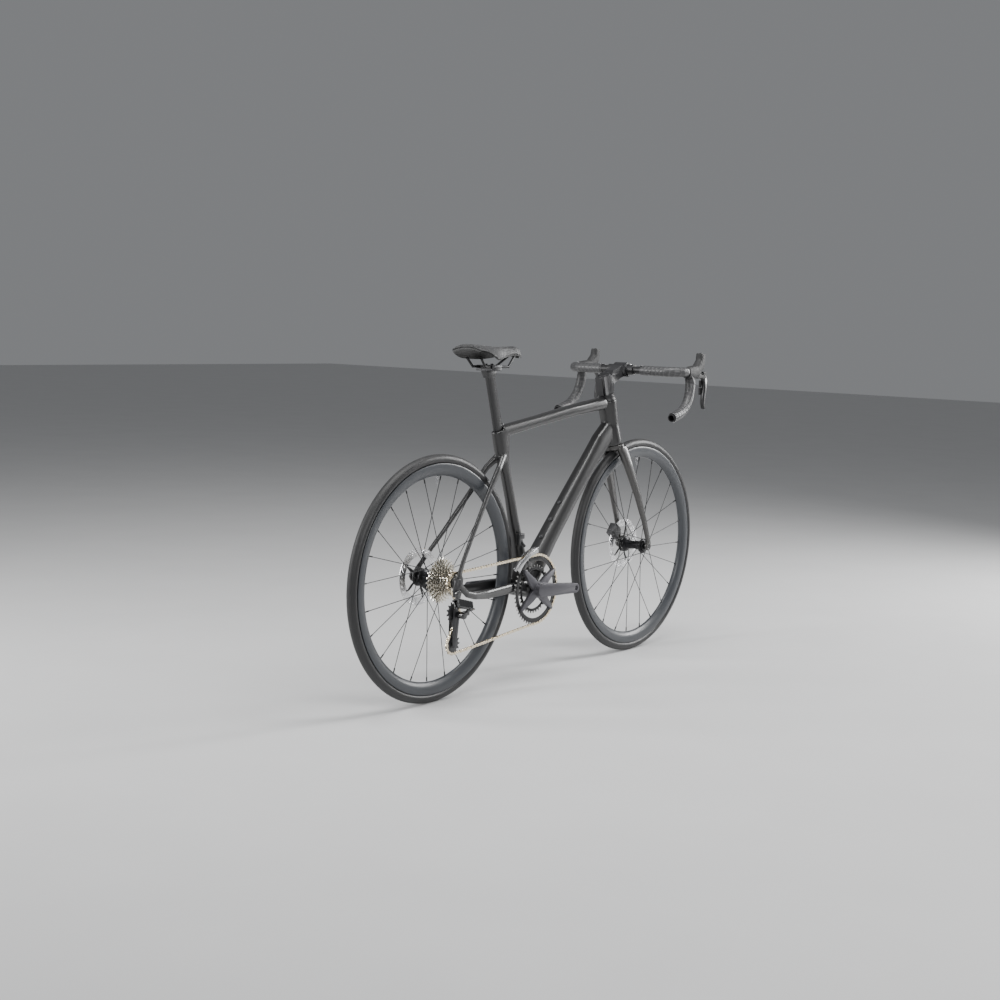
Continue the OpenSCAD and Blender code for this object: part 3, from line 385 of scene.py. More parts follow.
addFinish("hoodRubber", (0.013, 0.013, 0.014), (0.024, 0.024, 0.025), rough=(0.5, 0.66), fine=1500, bump=0.05,
          dust=0.08)
addFinish("leverPaint", (0.012, 0.012, 0.013), (0.022, 0.022, 0.024), rough=(0.25, 0.38), coat=0.4,
          coatRough=0.1,
          fine=900)
addFinish("switchPlastic", (0.014, 0.014, 0.015), (0.024, 0.024, 0.025), rough=(0.45, 0.6), fine=1500,
          bump=0.04)
addFinish("padCompound", (0.07, 0.055, 0.045), (0.11, 0.09, 0.07), rough=(0.7, 0.85), fine=1200, bump=0.08)
addFinish("shellPlastic", (0.011, 0.011, 0.011), (0.02, 0.02, 0.02), rough=(0.4, 0.55), fine=900, bump=0.03)
addFinish("mechPlastic", (0.012, 0.012, 0.013), (0.022, 0.022, 0.024), rough=(0.26, 0.4), fine=1200,
          bump=0.005,
          edge=0.3, edgeTone=(0.1, 0.1, 0.1))
addFinish("mechShell", (0.008, 0.008, 0.009), (0.015, 0.015, 0.016), rough=(0.16, 0.26), fine=1200,
          bump=0.003,
          coat=0.7, coatRough=0.08, edge=0.3, edgeTone=(0.1, 0.1, 0.1))
print("shared finishes made")

# which finish each carried node takes
nodeFinish = {
    "frame": "framePaint", "fork": "forkPaint", "bottom_bracket_cups": "blackAlloy",
    "headset_bearings": "bearingSteel",
    "bottle_bosses": "bearingSteel", "derailleur_hanger": "blackAlloy", "rear_thru_axle": "blackAlloy",
    "seat_clamp_wedge": "blackAlloy", "rear_brake_caliper": "blackAlloy", "chain": "chainSteel",
    "front_derailleur_body": "mechPlastic", "seatpost": "barPaint", "saddle_clamp": "blackAlloy",
    "saddle_rails": "spokeSteel", "saddle_base": "shellPlastic", "saddle_pad": "shellPlastic",
    "front_thru_axle": "blackAlloy", "headset_spacers": "barPaint", "stem": "barPaint",
    "stem_faceplate": "barPaint", "stem_hardware": "brightSteel", "handlebar": "barPaint",
    "bar_tape": "hoodRubber",
    "lever_hoods": "hoodRubber", "front_brake_caliper": "blackAlloy", "right_brake_lever": "leverPaint",
    "left_brake_lever": "leverPaint", "right_upshift_switch": "switchPlastic",
    "right_downshift_switch": "switchPlastic", "left_upshift_switch": "switchPlastic",
    "left_downshift_switch": "switchPlastic", "right_hood_button": "switchPlastic",
    "left_hood_button": "switchPlastic", "front_outer_pad": "padCompound", "front_inner_pad": "padCompound",
    "rear_outer_pad": "padCompound", "rear_inner_pad": "padCompound", "front_tyre": "hoodRubber",
    "front_rim": "barPaint", "front_spokes": "spokeSteel", "front_hub": "hubShell",
    "front_rotor": "brightSteel",
    "rear_tyre": "hoodRubber", "rear_rim": "barPaint", "rear_spokes": "spokeSteel", "rear_hub": "hubShell",
    "rear_rotor": "brightSteel", "cassette": "cassetteSteel", "right_crank": "crankPaint",
    "chainrings": "ringAlloy", "left_crank": "crankPaint", "rd_base": "mechPlastic",
    "rd_outer_link": "blackAlloy",
    "rd_inner_link": "blackAlloy", "rd_p_knuckle": "mechPlastic", "rd_cage": "blackAlloy",
    "guide_pulley": "mechPlastic", "tension_pulley": "mechPlastic", "fd_link": "blackAlloy",
    "fd_cage": "cageSteel",
}


def paint(piece, material):
    piece.data.materials.clear()
    piece.data.materials.append(material)
    return piece


for node, finishName in nodeFinish.items():
    target = frame["nodes"][node]
    for k in range(max(1, len(target.material_slots))):
        if target.material_slots:
            target.material_slots[k].material = finishes[finishName]
        else:
            target.data.materials.append(finishes[finishName])
bodyOf = {node: body for body, nodes in frame["record"]["behaviour"]["bodies"].items() for node in nodes}
slotOf = {s["node"]: s["material_slot"] for s in frame["record"]["subparts"]}

# moulded skins: the frame, the fork and the hoods, remeshed so that their corners and joints are rounded
mouldedSkins = {
    "frameSkin": {"node": "frame", "voxel": 0.0024, "fill": 0.0007, "smooth": 11, "finish": "framePaint"},
    "forkSkin": {"node": "fork", "voxel": 0.0019, "fill": 0.0005, "smooth": 11, "finish": "forkPaint"},
    "hoodSkin": {"node": "lever_hoods", "voxel": 0.0014, "smooth": 10, "finish": "hoodRubber"},
    "mechBase": {"node": "rd_base", "voxel": 0.0009, "fill": 0.0006, "smooth": 20, "finish": "mechShell"},
    "mechOuterLink": {"node": "rd_outer_link", "voxel": 0.0009, "smooth": 24, "finish": "mechShell",
                      "tall": 1.5},
    "mechInnerLink": {"node": "rd_inner_link", "voxel": 0.0009, "smooth": 10, "finish": "mechShell"},
    "mechKnuckle": {"node": "rd_p_knuckle", "voxel": 0.0009, "fill": 0.0008, "smooth": 24,
                    "finish": "mechShell"},
}
for name, spec in mouldedSkins.items():
    skin = nodeCopy(spec["node"], name)
    activate(skin)
    applied(skin, "REMESH", mode="VOXEL", voxel_size=spec["voxel"], adaptivity=0.0, use_smooth_shade=True)
    if "fill" in spec:
        # makes up for what the smoothing takes off
        applied(skin, "DISPLACE", strength=spec["fill"], mid_level=0)
    applied(skin, "SMOOTH", factor=0.5, iterations=spec["smooth"])
    if "tall" in spec:
        # the cover of the linkage stands taller than the bare link
        enterEdit(skin)
        bpy.ops.mesh.select_all(action="SELECT")
        bpy.ops.transform.resize(value=(1, 1, spec["tall"]))
        leaveEdit()
    settle(skin, name, 60)
    paint(skin, finishes[spec["finish"]])
    ride(skin, bodyOf[spec["node"]], slotOf[spec["node"]], spec["node"])
    print(name, len(skin.data.polygons), "faces")

# wheels
wheel = {
    "section": 0.0139, "tyreSteps": 180, "rimSteps": 180, "rimHalf": 0.0135, "rimTop": 0.316,
    "rimInner": 0.281,
}


def tyreTread(n, l, vector):
    # a fine file tread on the crown and moulding lines on the sides
    split = n.new("ShaderNodeSeparateXYZ")
    l.new(vector, split.inputs[0])
    length = mathNode(n, l, "SQRT", mathNode(n, l, "ADD", mathNode(n, l, "POWER", split.outputs["X"], 2.0),
                                             mathNode(n, l, "POWER", split.outputs["Z"], 2.0)))
    angle = mathNode(n, l, "ARCTAN2", split.outputs["Z"], split.outputs["X"])
    crown = n.new("ShaderNodeMapRange")
    crown.inputs["From Min"].default_value = 0.3335
    crown.inputs["From Max"].default_value = 0.3365
    l.new(length, crown.inputs["Value"])
    across = mathNode(n, l, "MULTIPLY", mathNode(n, l, "ABSOLUTE", split.outputs["Y"]), 900.0)
    rows = mathNode(n, l, "SINE", mathNode(n, l, "ADD", mathNode(n, l, "MULTIPLY", angle, 420.0), across))
    rows = mathNode(n, l, "MULTIPLY", mathNode(n, l, "GREATER_THAN", rows, 0.55), -0.6)
    tread = mathNode(n, l, "MULTIPLY", rows, crown.outputs[0])
    lines = mathNode(n, l, "SINE", mathNode(n, l, "MULTIPLY", length, 3900.0))
    lines = mathNode(n, l, "MULTIPLY", lines, 0.08)
    return mathNode(n, l, "ADD", tread, lines)


def tyreTint(n, l, vector, colour, roughness):
    split = n.new("ShaderNodeSeparateXYZ")
    l.new(vector, split.inputs[0])
    length = mathNode(n, l, "SQRT", mathNode(n, l, "ADD", mathNode(n, l, "POWER", split.outputs["X"], 2.0),
                                             mathNode(n, l, "POWER", split.outputs["Z"], 2.0)))
    crown = n.new("ShaderNodeMapRange")
    crown.inputs["From Min"].default_value = 0.3325
    crown.inputs["From Max"].default_value = 0.336
    l.new(length, crown.inputs["Value"])
    colour = mixColours(n, l, mathNode(n, l, "MULTIPLY", crown.outputs[0], 0.5), colour, (0.03, 0.03, 0.031))
    roughness = mathNode(n, l, "ADD", roughness, mathNode(n, l, "MULTIPLY", crown.outputs[0], 0.12))
    return colour, roughness


def rimTint(n, l, vector, colour, roughness):
    # fibres run round the rim, so the tone varies along arcs; the streaks are painted in a bluish tone that
    # stands for the sheen of the weave
    split = n.new("ShaderNodeSeparateXYZ")
    l.new(vector, split.inputs[0])
    length = mathNode(n, l, "SQRT", mathNode(n, l, "ADD", mathNode(n, l, "POWER", split.outputs["X"], 2.0),
                                             mathNode(n, l, "POWER", split.outputs["Z"], 2.0)))
    angle = mathNode(n, l, "ARCTAN2", split.outputs["Z"], split.outputs["X"])
    joinedUp = n.new("ShaderNodeCombineXYZ")
    l.new(mathNode(n, l, "MULTIPLY", length, 1400.0), joinedUp.inputs[0])
    l.new(mathNode(n, l, "MULTIPLY", angle, 9.0), joinedUp.inputs[1])
    fibreSheen = noiseAt(n, l, joinedUp.outputs[0], 1.0, 3.0, 0.6)
    # the bluish colour mixed into the fibre streaks is a painted sheen
    colour = mixColours(n, l, fibreSheen, colour, (0.05, 0.056, 0.066))
    return colour, roughness


for side, x in (("front", frontX), ("rear", rearX)):
    finishes[side + "Tyre"] = makeFinish(side + "Tyre", (0.009, 0.009, 0.01), (0.016, 0.016, 0.017),
                                         rough=(0.34, 0.46),
                                         fine=900, bump=0.01, dust=0.12, centre=(x, 0, axleZ),
                                         relief=tyreTread,
                                         tint=tyreTint, bumpDistance=0.0003)
    finishes[side + "Rim"] = makeFinish(side + "Rim", (0.014, 0.015, 0.017), (0.026, 0.028, 0.032),
                                        rough=(0.32, 0.45),
                                        coat=0.2, coatRough=0.25, fine=900, bump=0.006, dust=0.05,
                                        centre=(x, 0, axleZ), tint=rimTint)


def makeTyre(name, x):
    bpy.ops.mesh.primitive_circle_add(vertices=24, radius=wheel["section"],
                                      location=(x, 0, axleZ + tyreOuter - 0.014))
    piece = bpy.context.object
    activate(piece)
    piece.rotation_euler = (0, math.pi / 2, 0)
    bpy.ops.object.transform_apply(location=True, rotation=True, scale=True)
    enterEdit(piece)
    # the beads sit down between the rim's hooks
    pickVerts(piece, lambda co: co.z < axleZ + 0.3165)
    bpy.ops.transform.resize(value=(1, 0.93, 1))
    bpy.ops.mesh.select_all(action="SELECT")
    spinRound(piece, x, wheel["tyreSteps"])
    leaveEdit()
    cleanUp(piece)
    return settle(piece, name, 50)


def makeRim(name, x):
    w = wheel
    # half of the section is a row of points down one side, mirrored to the other
    outline = [(w["rimTop"], 0.0104), (w["rimTop"], w["rimHalf"] - 0.001),
               (w["rimTop"] - 0.0008, w["rimHalf"] - 0.0003),
               (w["rimTop"] - 0.004, w["rimHalf"]), (w["rimTop"] - 0.010, w["rimHalf"]),
               (w["rimTop"] - 0.016, w["rimHalf"] - 0.0006), (w["rimTop"] - 0.022, w["rimHalf"] - 0.0021),
               (w["rimTop"] - 0.027, w["rimHalf"] - 0.0044), (w["rimTop"] - 0.031, w["rimHalf"] - 0.0073),
               (w["rimInner"] + 0.0012, 0.0034), (w["rimInner"] + 0.0003, 0.0015), (w["rimInner"], 0.0)]
    points = [(y, r) for r, y in outline] + [(-y, r) for r, y in reversed(outline[:-1])]
    points += [(-0.0103, w["rimTop"] - 0.0125), (0.0103, w["rimTop"] - 0.0125)]
    mesh = bpy.data.meshes.new(name)
    mesh.from_pydata([(x, y, axleZ + r) for y, r in points],
                     [(k, (k + 1) % len(points)) for k in range(len(points))], [])
    piece = bpy.data.objects.new(name, mesh)
    bpy.context.scene.collection.objects.link(piece)
    enterEdit(piece)
    bpy.ops.mesh.select_all(action="SELECT")
    spinRound(piece, x, w["rimSteps"])
    leaveEdit()
    cleanUp(piece)
    return settle(piece, name, 40)


def makeValve(name, x):
    # a long stem with a nut at the rim and a slim tip, hanging straight down from the top of the rim
    parts = []
    for radius, top, low, sides in ((0.0026, 0.0, -0.0235, 16), (0.0041, 0.0005, -0.0022, 6),
                                    (0.0017, -0.0235, -0.0275, 12)):
        bpy.ops.mesh.primitive_cylinder_add(vertices=sides, radius=radius, depth=top - low,
                                            location=(x, 0, axleZ + wheel["rimInner"] + (top + low) / 2))
        part = bpy.context.object
        applied(part, "BEVEL", width=0.0004, segments=2)
        parts.append(part)
    return settle(joined(parts, name), name, 30)


frontTyre = makeTyre("frontTyreCasing", frontX)
frontRim = makeRim("frontRimHoop", frontX)
shift = (rearX - frontX, 0, 0)
rearTyre = copied(frontTyre, "rearTyreCasing", shift)
rearRim = copied(frontRim, "rearRimHoop", shift)
for piece, side, slotName, node in ((frontTyre, "front", "tyre_rubber", "front_tyre"),
                                    (rearTyre, "rear", "tyre_rubber", "rear_tyre")):
    ride(paint(piece, finishes[side + "Tyre"]), side + "_wheel", slotName, node)
for piece, side in ((frontRim, "front"), (rearRim, "rear")):
    ride(paint(piece, finishes[side + "Rim"]), side + "_wheel", "rim_carbon", side + "_rim")
frontValve = makeValve("frontValve", frontX)
rearValve = copied(frontValve, "rearValve", shift)
ride(paint(frontValve, finishes["bearingSteel"]), "front_wheel", "rim_carbon")
ride(paint(rearValve, finishes["bearingSteel"]), "rear_wheel", "rim_carbon")
print("wheels made")

# brake rotors: a slotted steel track on a black carrier
rotor = {"outer": 0.08, "rivets": 0.059, "thick": 0.0018, "slots": 60, "arms": 5, "hubOuter": 0.026,
         "hubInner": 0.0186,
         "steps": (0.0772, 0.0735, 0.0705, 0.0675, 0.062, 0.057),
         "slotRows": {0.0754: 0, 0.0720: 1, 0.0690: 2}}


def makeTrack(name, x, y):
    r = rotor
    bpy.ops.mesh.primitive_circle_add(vertices=r["slots"] * 2, radius=r["outer"], location=(x, y, axleZ),
                                      rotation=(math.pi / 2, 0, 0))
    piece = bpy.context.object
    activate(piece)
    bpy.ops.object.transform_apply(location=True, rotation=True, scale=True)
    enterEdit(piece)
    bpy.ops.mesh.select_all(action="SELECT")
    radius = r["outer"]
    for target in r["steps"]:
        bpy.ops.mesh.extrude_edges_move()
        bpy.ops.transform.resize(value=(target / radius, 1, target / radius), center_override=(x, y, axleZ))
        radius = target

    # slots lie in slanted groups of three across the outer part of the track
    def inSlot(f):
        place = f.center - Vector((x, y, axleZ))
        band = min(r["slotRows"], key=lambda q: abs(q - place.xz.length))
        turn = int(round(math.degrees(math.atan2(place.z, place.x)) / 3.0 - 0.5))
        return abs(band - place.xz.length) < 0.0012 and turn % 4 == r["slotRows"][band]

    pickFaces(piece, inSlot)
    bpy.ops.mesh.inset(thickness=0.0006, use_individual=True)
    bpy.ops.mesh.delete(type="FACE")
    leaveEdit()
    applied(piece, "SOLIDIFY", thickness=r["thick"], offset=0)
    applied(piece, "BEVEL", width=0.0002, segments=1, limit_method="ANGLE")
    return settle(piece, name, 30)


def makeCarrier(name, x, y):
    # arms sweep from the hub to the track, each with a rivet at its end
    r = rotor
    parts = []
    bpy.ops.mesh.primitive_circle_add(vertices=64, radius=r["hubOuter"], location=(x, y, axleZ),
                                      rotation=(math.pi / 2, 0, 0))
    ringPart = bpy.context.object
    settle(ringPart)
    enterEdit(ringPart)
    bpy.ops.mesh.select_all(action="SELECT")
    bpy.ops.mesh.extrude_edges_move()
    bpy.ops.transform.resize(value=(r["hubInner"] / r["hubOuter"], 1, r["hubInner"] / r["hubOuter"]),
                             center_override=(x, y, axleZ))
    leaveEdit()
    applied(ringPart, "SOLIDIFY", thickness=0.0024, offset=0)
    parts.append(ringPart)
    for k in range(r["arms"]):
        turn = math.tau * k / r["arms"]
        bpy.ops.mesh.primitive_plane_add(size=0.012, location=(x + 0.024, y, axleZ),
                                         rotation=(math.pi / 2, 0, 0))
        arm = bpy.context.object
        settle(arm)
        enterEdit(arm, "EDGE")
        bpy.ops.mesh.select_all(action="DESELECT")
        pickVerts(arm, lambda co: co.x > x + 0.024)
        for step, lift, width in ((0.012, 0.004, 0.7), (0.012, 0.0015, 0.85), (0.008, -0.003, 1.35)):
            bpy.ops.mesh.extrude_region_move(TRANSFORM_OT_translate={"value": (step, 0, lift)})
            bpy.ops.transform.resize(value=(1, 1, width))
        leaveEdit()
        applied(arm, "SOLIDIFY", thickness=0.0022, offset=0)
        applied(arm, "SUBSURF", levels=1, render_levels=1)
        bpy.ops.object.mode_set(mode="EDIT")
        bpy.ops.mesh.select_all(action="SELECT")
        bpy.ops.transform.rotate(value=-turn, orient_axis="Y", center_override=(x, y, axleZ))
        leaveEdit()
        parts.append(arm)
        bpy.ops.mesh.primitive_cylinder_add(vertices=16, radius=0.0028, depth=0.0026,
                                            location=(x + r["rivets"] * math.cos(turn - 0.02), y,
                                                      axleZ + r["rivets"] * math.sin(turn - 0.02)),
                                            rotation=(math.pi / 2, 0, 0))
        parts.append(bpy.context.object)
        applied(bpy.context.object, "BEVEL", width=0.0003, segments=2)
        settle(bpy.context.object)
    return settle(joined(parts, name), name, 30)


def ringTint():
    # brushing runs round the track as fine rings, darker and rougher
    def tint(n, l, vector, colour, roughness):
        split = n.new("ShaderNodeSeparateXYZ")
        l.new(vector, split.inputs[0])
        length = mathNode(n, l, "SQRT", mathNode(n, l, "ADD",
                                                 mathNode(n, l, "POWER", split.outputs["X"], 2.0),
                                                 mathNode(n, l, "POWER", split.outputs["Z"], 2.0)))
        angle = mathNode(n, l, "ARCTAN2", split.outputs["Z"], split.outputs["X"])
        joinedUp = n.new("ShaderNodeCombineXYZ")
        l.new(mathNode(n, l, "MULTIPLY", length, 9000.0), joinedUp.inputs[0])
        l.new(mathNode(n, l, "MULTIPLY", angle, 3.0), joinedUp.inputs[1])
        brushing = noiseAt(n, l, joinedUp.outputs[0], 1.0, 3.0, 0.6)
        colour = mixColours(n, l, mathNode(n, l, "MULTIPLY", brushing, 0.5), colour, (0.3, 0.3, 0.31))
        return colour, mathNode(n, l, "ADD", roughness, mathNode(n, l, "MULTIPLY", brushing, 0.12))
    return tint


trackSpots = {"front": (frontX, 0.0395), "rear": (rearX, 0.0557)}
frontTrack = makeTrack("frontRotorTrack", *trackSpots["front"])
frontCarrier = makeCarrier("frontRotorCarrier", *trackSpots["front"])
rotorShift = (rearX - frontX, trackSpots["rear"][1] - trackSpots["front"][1], 0)
rearTrack = copied(frontTrack, "rearRotorTrack", rotorShift)
rearCarrier = copied(frontCarrier, "rearRotorCarrier", rotorShift)
for side, track, carrier in (("front", frontTrack, frontCarrier), ("rear", rearTrack, rearCarrier)):
    x, y = trackSpots[side]
    steel = makeFinish(side + "TrackSteel", (0.72, 0.72, 0.73), (0.88, 0.88, 0.89), rough=(0.16, 0.26),
                       metallic=1.0,
                       fine=900, bump=0.006, dust=0.0, centre=(x, 0, axleZ), tint=ringTint())
    ride(paint(track, steel), side + "_wheel", "rotor_steel", side + "_rotor")
    ride(paint(carrier, finishes["rotorCarrier"]), side + "_wheel", "rotor_steel")
print("rotors made")

# chain: inner and outer links copied round the sprockets
chain = {
    "ring": (-0.091, 0.270, 50), "cog": (rearX, axleZ, 11), "guide": (rearX + 0.007, 0.258, 13),
    "tension": (rearX + 0.008, 0.169, 13), "pitch": 0.0127, "ringY": -0.047, "cogY": -0.06455,
}


def pitchRadius(teeth):
    return chain["pitch"] / 2 / math.sin(math.pi / teeth)


def chainPath():
    # points along the chain's loop: over the ring, round the cog, between the pulleys and back
    wheels = [(*chain[k], s) for k, s in (("ring", 1), ("cog", 1), ("guide", -1), ("tension", 1))]
    touch = []
    for k, (ax, az, at, sa) in enumerate(wheels):
        bx, bz, bt, sb = wheels[(k + 1) % 4]
        ra, rb = pitchRadius(at), pitchRadius(bt)
        gap, head = math.hypot(bx - ax, bz - az), math.atan2(bz - az, bx - ax)
        turn = head - math.acos((sa * ra - sb * rb) / gap)
        nx, nz = math.cos(turn), math.sin(turn)
        touch.append(((ax + sa * ra * nx, az + sa * ra * nz), (bx + sb * rb * nx, bz + sb * rb * nz)))
    points = []
    for k, (cx, cz, teeth, s) in enumerate(wheels):
        r = pitchRadius(teeth)
        arrive, leave = touch[k - 1][1], touch[k][0]
        a0 = math.atan2(arrive[1] - cz, arrive[0] - cx)
        a1 = math.atan2(leave[1] - cz, leave[0] - cx)
        sweep = (a1 - a0) % math.tau if s > 0 else -((a0 - a1) % math.tau)
        steps = max(2, int(abs(sweep) / 0.02))
        points += [(cx + r * math.cos(a0 + sweep * q / steps), cz + r * math.sin(a0 + sweep * q / steps))
                   for q in range(steps + 1)]
        end = touch[k][1]
        points += [(leave[0] + (end[0] - leave[0]) * q / 40, leave[1] + (end[1] - leave[1]) * q / 40)
                   for q in range(1, 40)]
    return points


def alongPath(points, count):
    # equal steps along the loop
    runs = [math.dist(points[k], points[(k + 1) % len(points)]) for k in range(len(points))]
    step = sum(runs) / count
    spots, k, passed = [], 0, 0.0
    for i in range(count):
        want = i * step
        while passed + runs[k] < want:
            passed += runs[k]
            k += 1
        t = (want - passed) / runs[k]
        a, b = points[k], points[(k + 1) % len(points)]
        spots.append((a[0] + (b[0] - a[0]) * t, a[1] + (b[1] - a[1]) * t))
    return spots


def chainSide(x):
    # the chain drifts outboard from the ring to the cog
    t = min(1, max(0, ((chain["ring"][0] - x) / (chain["ring"][0] - chain["cog"][0]) - 0.02) / 0.96))
    return chain["ringY"] + (chain["cogY"] - chain["ringY"]) * t * t * (3 - 2 * t)


def makeLink(name, inner):
    # lies along +X from the pin at the origin to the next
    p = chain["pitch"]
    parts = []
    for side in (-1, 1):
        y = side * (0.00155 if inner else 0.00235)
        bpy.ops.mesh.primitive_cylinder_add(vertices=12, radius=0.0042, depth=0.0008, location=(0, y, 0),
                                            rotation=(math.pi / 2, 0, 0))
        plate = bpy.context.object
        settle(plate)
        enterEdit(plate)
        pickVerts(plate, lambda co: co.x > 0.0005)
        bpy.ops.transform.translate(value=(p, 0, 0))
        # the waist between the two eyes
        bpy.ops.mesh.select_all(action="SELECT")
        bpy.ops.mesh.bisect(plane_co=(p / 2, 0, 0), plane_no=(1, 0, 0))
        pickVerts(plate, lambda co: abs(co.x - p / 2) < 0.0004)
        bpy.ops.transform.resize(value=(1, 1, 0.62))
        leaveEdit()
        parts.append(plate)
    length = 0.0036 if inner else 0.0062
    for at in (0, p):
        bpy.ops.mesh.primitive_cylinder_add(vertices=10, radius=0.0037 if inner else 0.0017, depth=length,
                                            location=(at, 0, 0),
                                            rotation=(math.pi / 2, 0, 0))
        roller = bpy.context.object
        settle(roller)
        parts.append(roller)
    link = settle(joined(parts, name), name, 35)
    return link


points = chainPath()
loopLength = sum(math.dist(points[k], points[(k + 1) % len(points)]) for k in range(len(points)))
linkCount = 2 * round(loopLength / chain["pitch"] / 2)
pins = [Vector((x, chainSide(x), z)) for x, z in alongPath(points, linkCount)]
patterns = [makeLink("innerLink", True), makeLink("outerLink", False)]
links = []
for i in range(linkCount):
    a, b = pins[i], pins[(i + 1) % linkCount]
    ahead = (b - a).normalized()
    across = Vector((0, 1, 0)).cross(ahead).normalized()
    flat = ahead.cross(across).normalized()
    link = patterns[i % 2].copy()
    link.data = patterns[i % 2].data.copy()
    bpy.context.scene.collection.objects.link(link)
    turn = Matrix((ahead, -flat, across)).transposed()
    if turn.determinant() < 0:
        turn = Matrix((ahead, flat, across)).transposed()
    link.matrix_world = Matrix.Translation(a) @ turn.to_4x4()
    links.append(link)
for pattern in patterns:
    bpy.data.objects.remove(pattern)
deselectAll()
for link in links:
    link.select_set(True)
bpy.context.view_layer.objects.active = links[0]
bpy.ops.object.join()
chainPiece = settle(links[0], "driveChain", 35)
chainPiece.data.name = "driveChain"
ride(paint(chainPiece, finishes["chainSteel"]), "frame_body", "chain_steel", "chain")
print("chain made,", linkCount, "links")

# bar tape: a flat strip wound round the bar, each turn lapping the last
tape = {"barRadius": 0.0121, "pitch": 0.0155, "lap": 1.3, "thick": 0.0014, "barX": 0.390, "barZ": 0.901,
        "start": 0.062,
        "topHalf": 0.155, "corner": 0.045, "gripY": 0.200, "hook": 0.030, "drop": 0.100, "sweep": 75,
        "end": 0.045, "flare": 5}


def topLine():
    t = tape
    points = [(t["barX"], t["start"] + (t["topHalf"] - t["start"]) * q / 12, t["barZ"]) for q in range(12)]
    for q in range(25):
        a = math.radians(90 * q / 24)
        points.append((t["barX"] + t["corner"] - t["corner"] * math.cos(a),
                       t["topHalf"] + t["corner"] * math.sin(a), t["barZ"]))
    points += [(points[-1][0] + 0.004 * q, t["gripY"], t["barZ"]) for q in (1, 2)]
    return [Vector(p) for p in points]


def dropLine():
    t = tape
    flat = []
    for q in range(8):
        a = math.radians(40 - 40 * q / 8)
        flat.append((t["barX"] + t["corner"] + t["hook"] * math.cos(a), -t["hook"] + t["hook"] * math.sin(a)))
    mid = t["barX"] + t["corner"] + t["hook"] - t["drop"]
    for q in range(31):
        a = math.radians(-t["sweep"] * q / 30)
        flat.append((mid + t["drop"] * math.cos(a), -t["hook"] + t["drop"] * math.sin(a)))
    a = math.radians(-t["sweep"])
    for q in range(1, 13):
        flat.append((flat[38][0] + t["end"] * q / 12 * math.sin(a),
                     flat[38][1] - t["end"] * q / 12 * math.cos(a)))
    f = math.radians(t["flare"])
    return [Vector((x, t["gripY"] - z * math.sin(f), t["barZ"] + z * math.cos(f))) for x, z in flat]


def makeWrap(name, line):
    # wound along +X first, then bent along the bar's line
    t = tape
    length = sum((line[k + 1] - line[k]).length for k in range(len(line) - 1))
    turns = int(length / t["pitch"])
    pitch = length / (turns + t["lap"])
    bpy.ops.mesh.primitive_plane_add(size=1)
    piece = bpy.context.object
    enterEdit(piece)
    bpy.ops.mesh.select_all(action="SELECT")
    bpy.ops.mesh.delete(type="VERT")
    leaveEdit()
    r = t["barRadius"]
    profile = [(0.0, 0.0), (0.12, 0.0002), (0.3, 0.0003), (0.35, 0.0016), (0.6, 0.002), (0.95, 0.0018),
               (1.2, 0.002), (1.3, 0.0014)]
    piece.data.from_pydata([(x * pitch, 0, r + lift) for x, lift in profile],
                           [(k, k + 1) for k in range(len(profile) - 1)], [])
    applied(piece, "SCREW", axis="X", screw_offset=pitch, iterations=turns, steps=28, render_steps=28,
            use_smooth_shade=True)
    activate(piece)
    cleanUp(piece, 0.000001)
    applied(piece, "SOLIDIFY", thickness=t["thick"], offset=1, use_even_offset=True)
    path = bpy.data.curves.new(name + "Line", "CURVE")
    path.dimensions = "3D"
    spline = path.splines.new("POLY")
    spline.points.add(len(line) - 1)
    for k, p in enumerate(line):
        spline.points[k].co = (*p, 1)
    guide = bpy.data.objects.new(name + "Line", path)
    bpy.context.scene.collection.objects.link(guide)
    activate(piece)
    mod = piece.modifiers.new("bend", "CURVE")
    mod.object = guide
    mod.deform_axis = "POS_X"
    bpy.ops.object.modifier_apply(modifier="bend")
    bpy.data.objects.remove(guide)
    return settle(piece, name, 50)


# edge and edgeTone paint a highlight along the edge of each lap
finishes["tape"] = makeFinish("tape", (0.02, 0.02, 0.021), (0.04, 0.04, 0.042), rough=(0.3, 0.45), fine=700,
                              bump=0.06,
                              broad=60, bumpDistance=0.0003, dust=0.06, coat=0.3, coatRough=0.22,
                              edge=1.2, edgeTone=(0.16, 0.16, 0.165))
topWrap = makeWrap("leftTopTape", topLine())
dropWrap = makeWrap("leftDropTape", dropLine())
tapeParts = [topWrap, dropWrap, copied(topWrap, "rightTopTape", scale=(1, -1, 1)),
             copied(dropWrap, "rightDropTape", scale=(1, -1, 1))]
for piece in tapeParts:
    ride(paint(piece, finishes["tape"]), "steering_body", "tape")
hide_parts("bar_tape")
print("tape wound")

# saddle: a moulded cover with a relief channel
saddleSpec = {"voxel": 0.0022, "smooth": 6, "rear": -0.383, "nose": -0.143, "channel": 0.0022,
              "channelHalf": 0.009}
pad = nodeCopy("saddle_pad", "saddleCover")
activate(pad)
applied(pad, "REMESH", mode="VOXEL", voxel_size=saddleSpec["voxel"], adaptivity=0.0, use_smooth_shade=True)
applied(pad, "SMOOTH", factor=0.5, iterations=saddleSpec["smooth"])
for v in pad.data.vertices:
    # the channel fades out towards both ends
    along = (v.co.x - saddleSpec["rear"]) / (saddleSpec["nose"] - saddleSpec["rear"])
    fade = 0.0
    if 0.18 < along < 0.86:
        fade = math.sin(math.pi * ((along - 0.18) / 0.68)) ** 0.7
    dip = saddleSpec["channel"] * fade * math.exp(-(v.co.y / saddleSpec["channelHalf"]) ** 2)
    if v.normal.z > 0.3:
        v.co.z -= dip
finishes["saddleCover"] = makeFinish("saddleCover", (0.012, 0.012, 0.013), (0.022, 0.022, 0.024),
                                     rough=(0.36, 0.5),
                                     fine=1400, bump=0.05, broad=20, dust=0.1, sheen=0.1)
settle(pad, "saddleCover", 60)
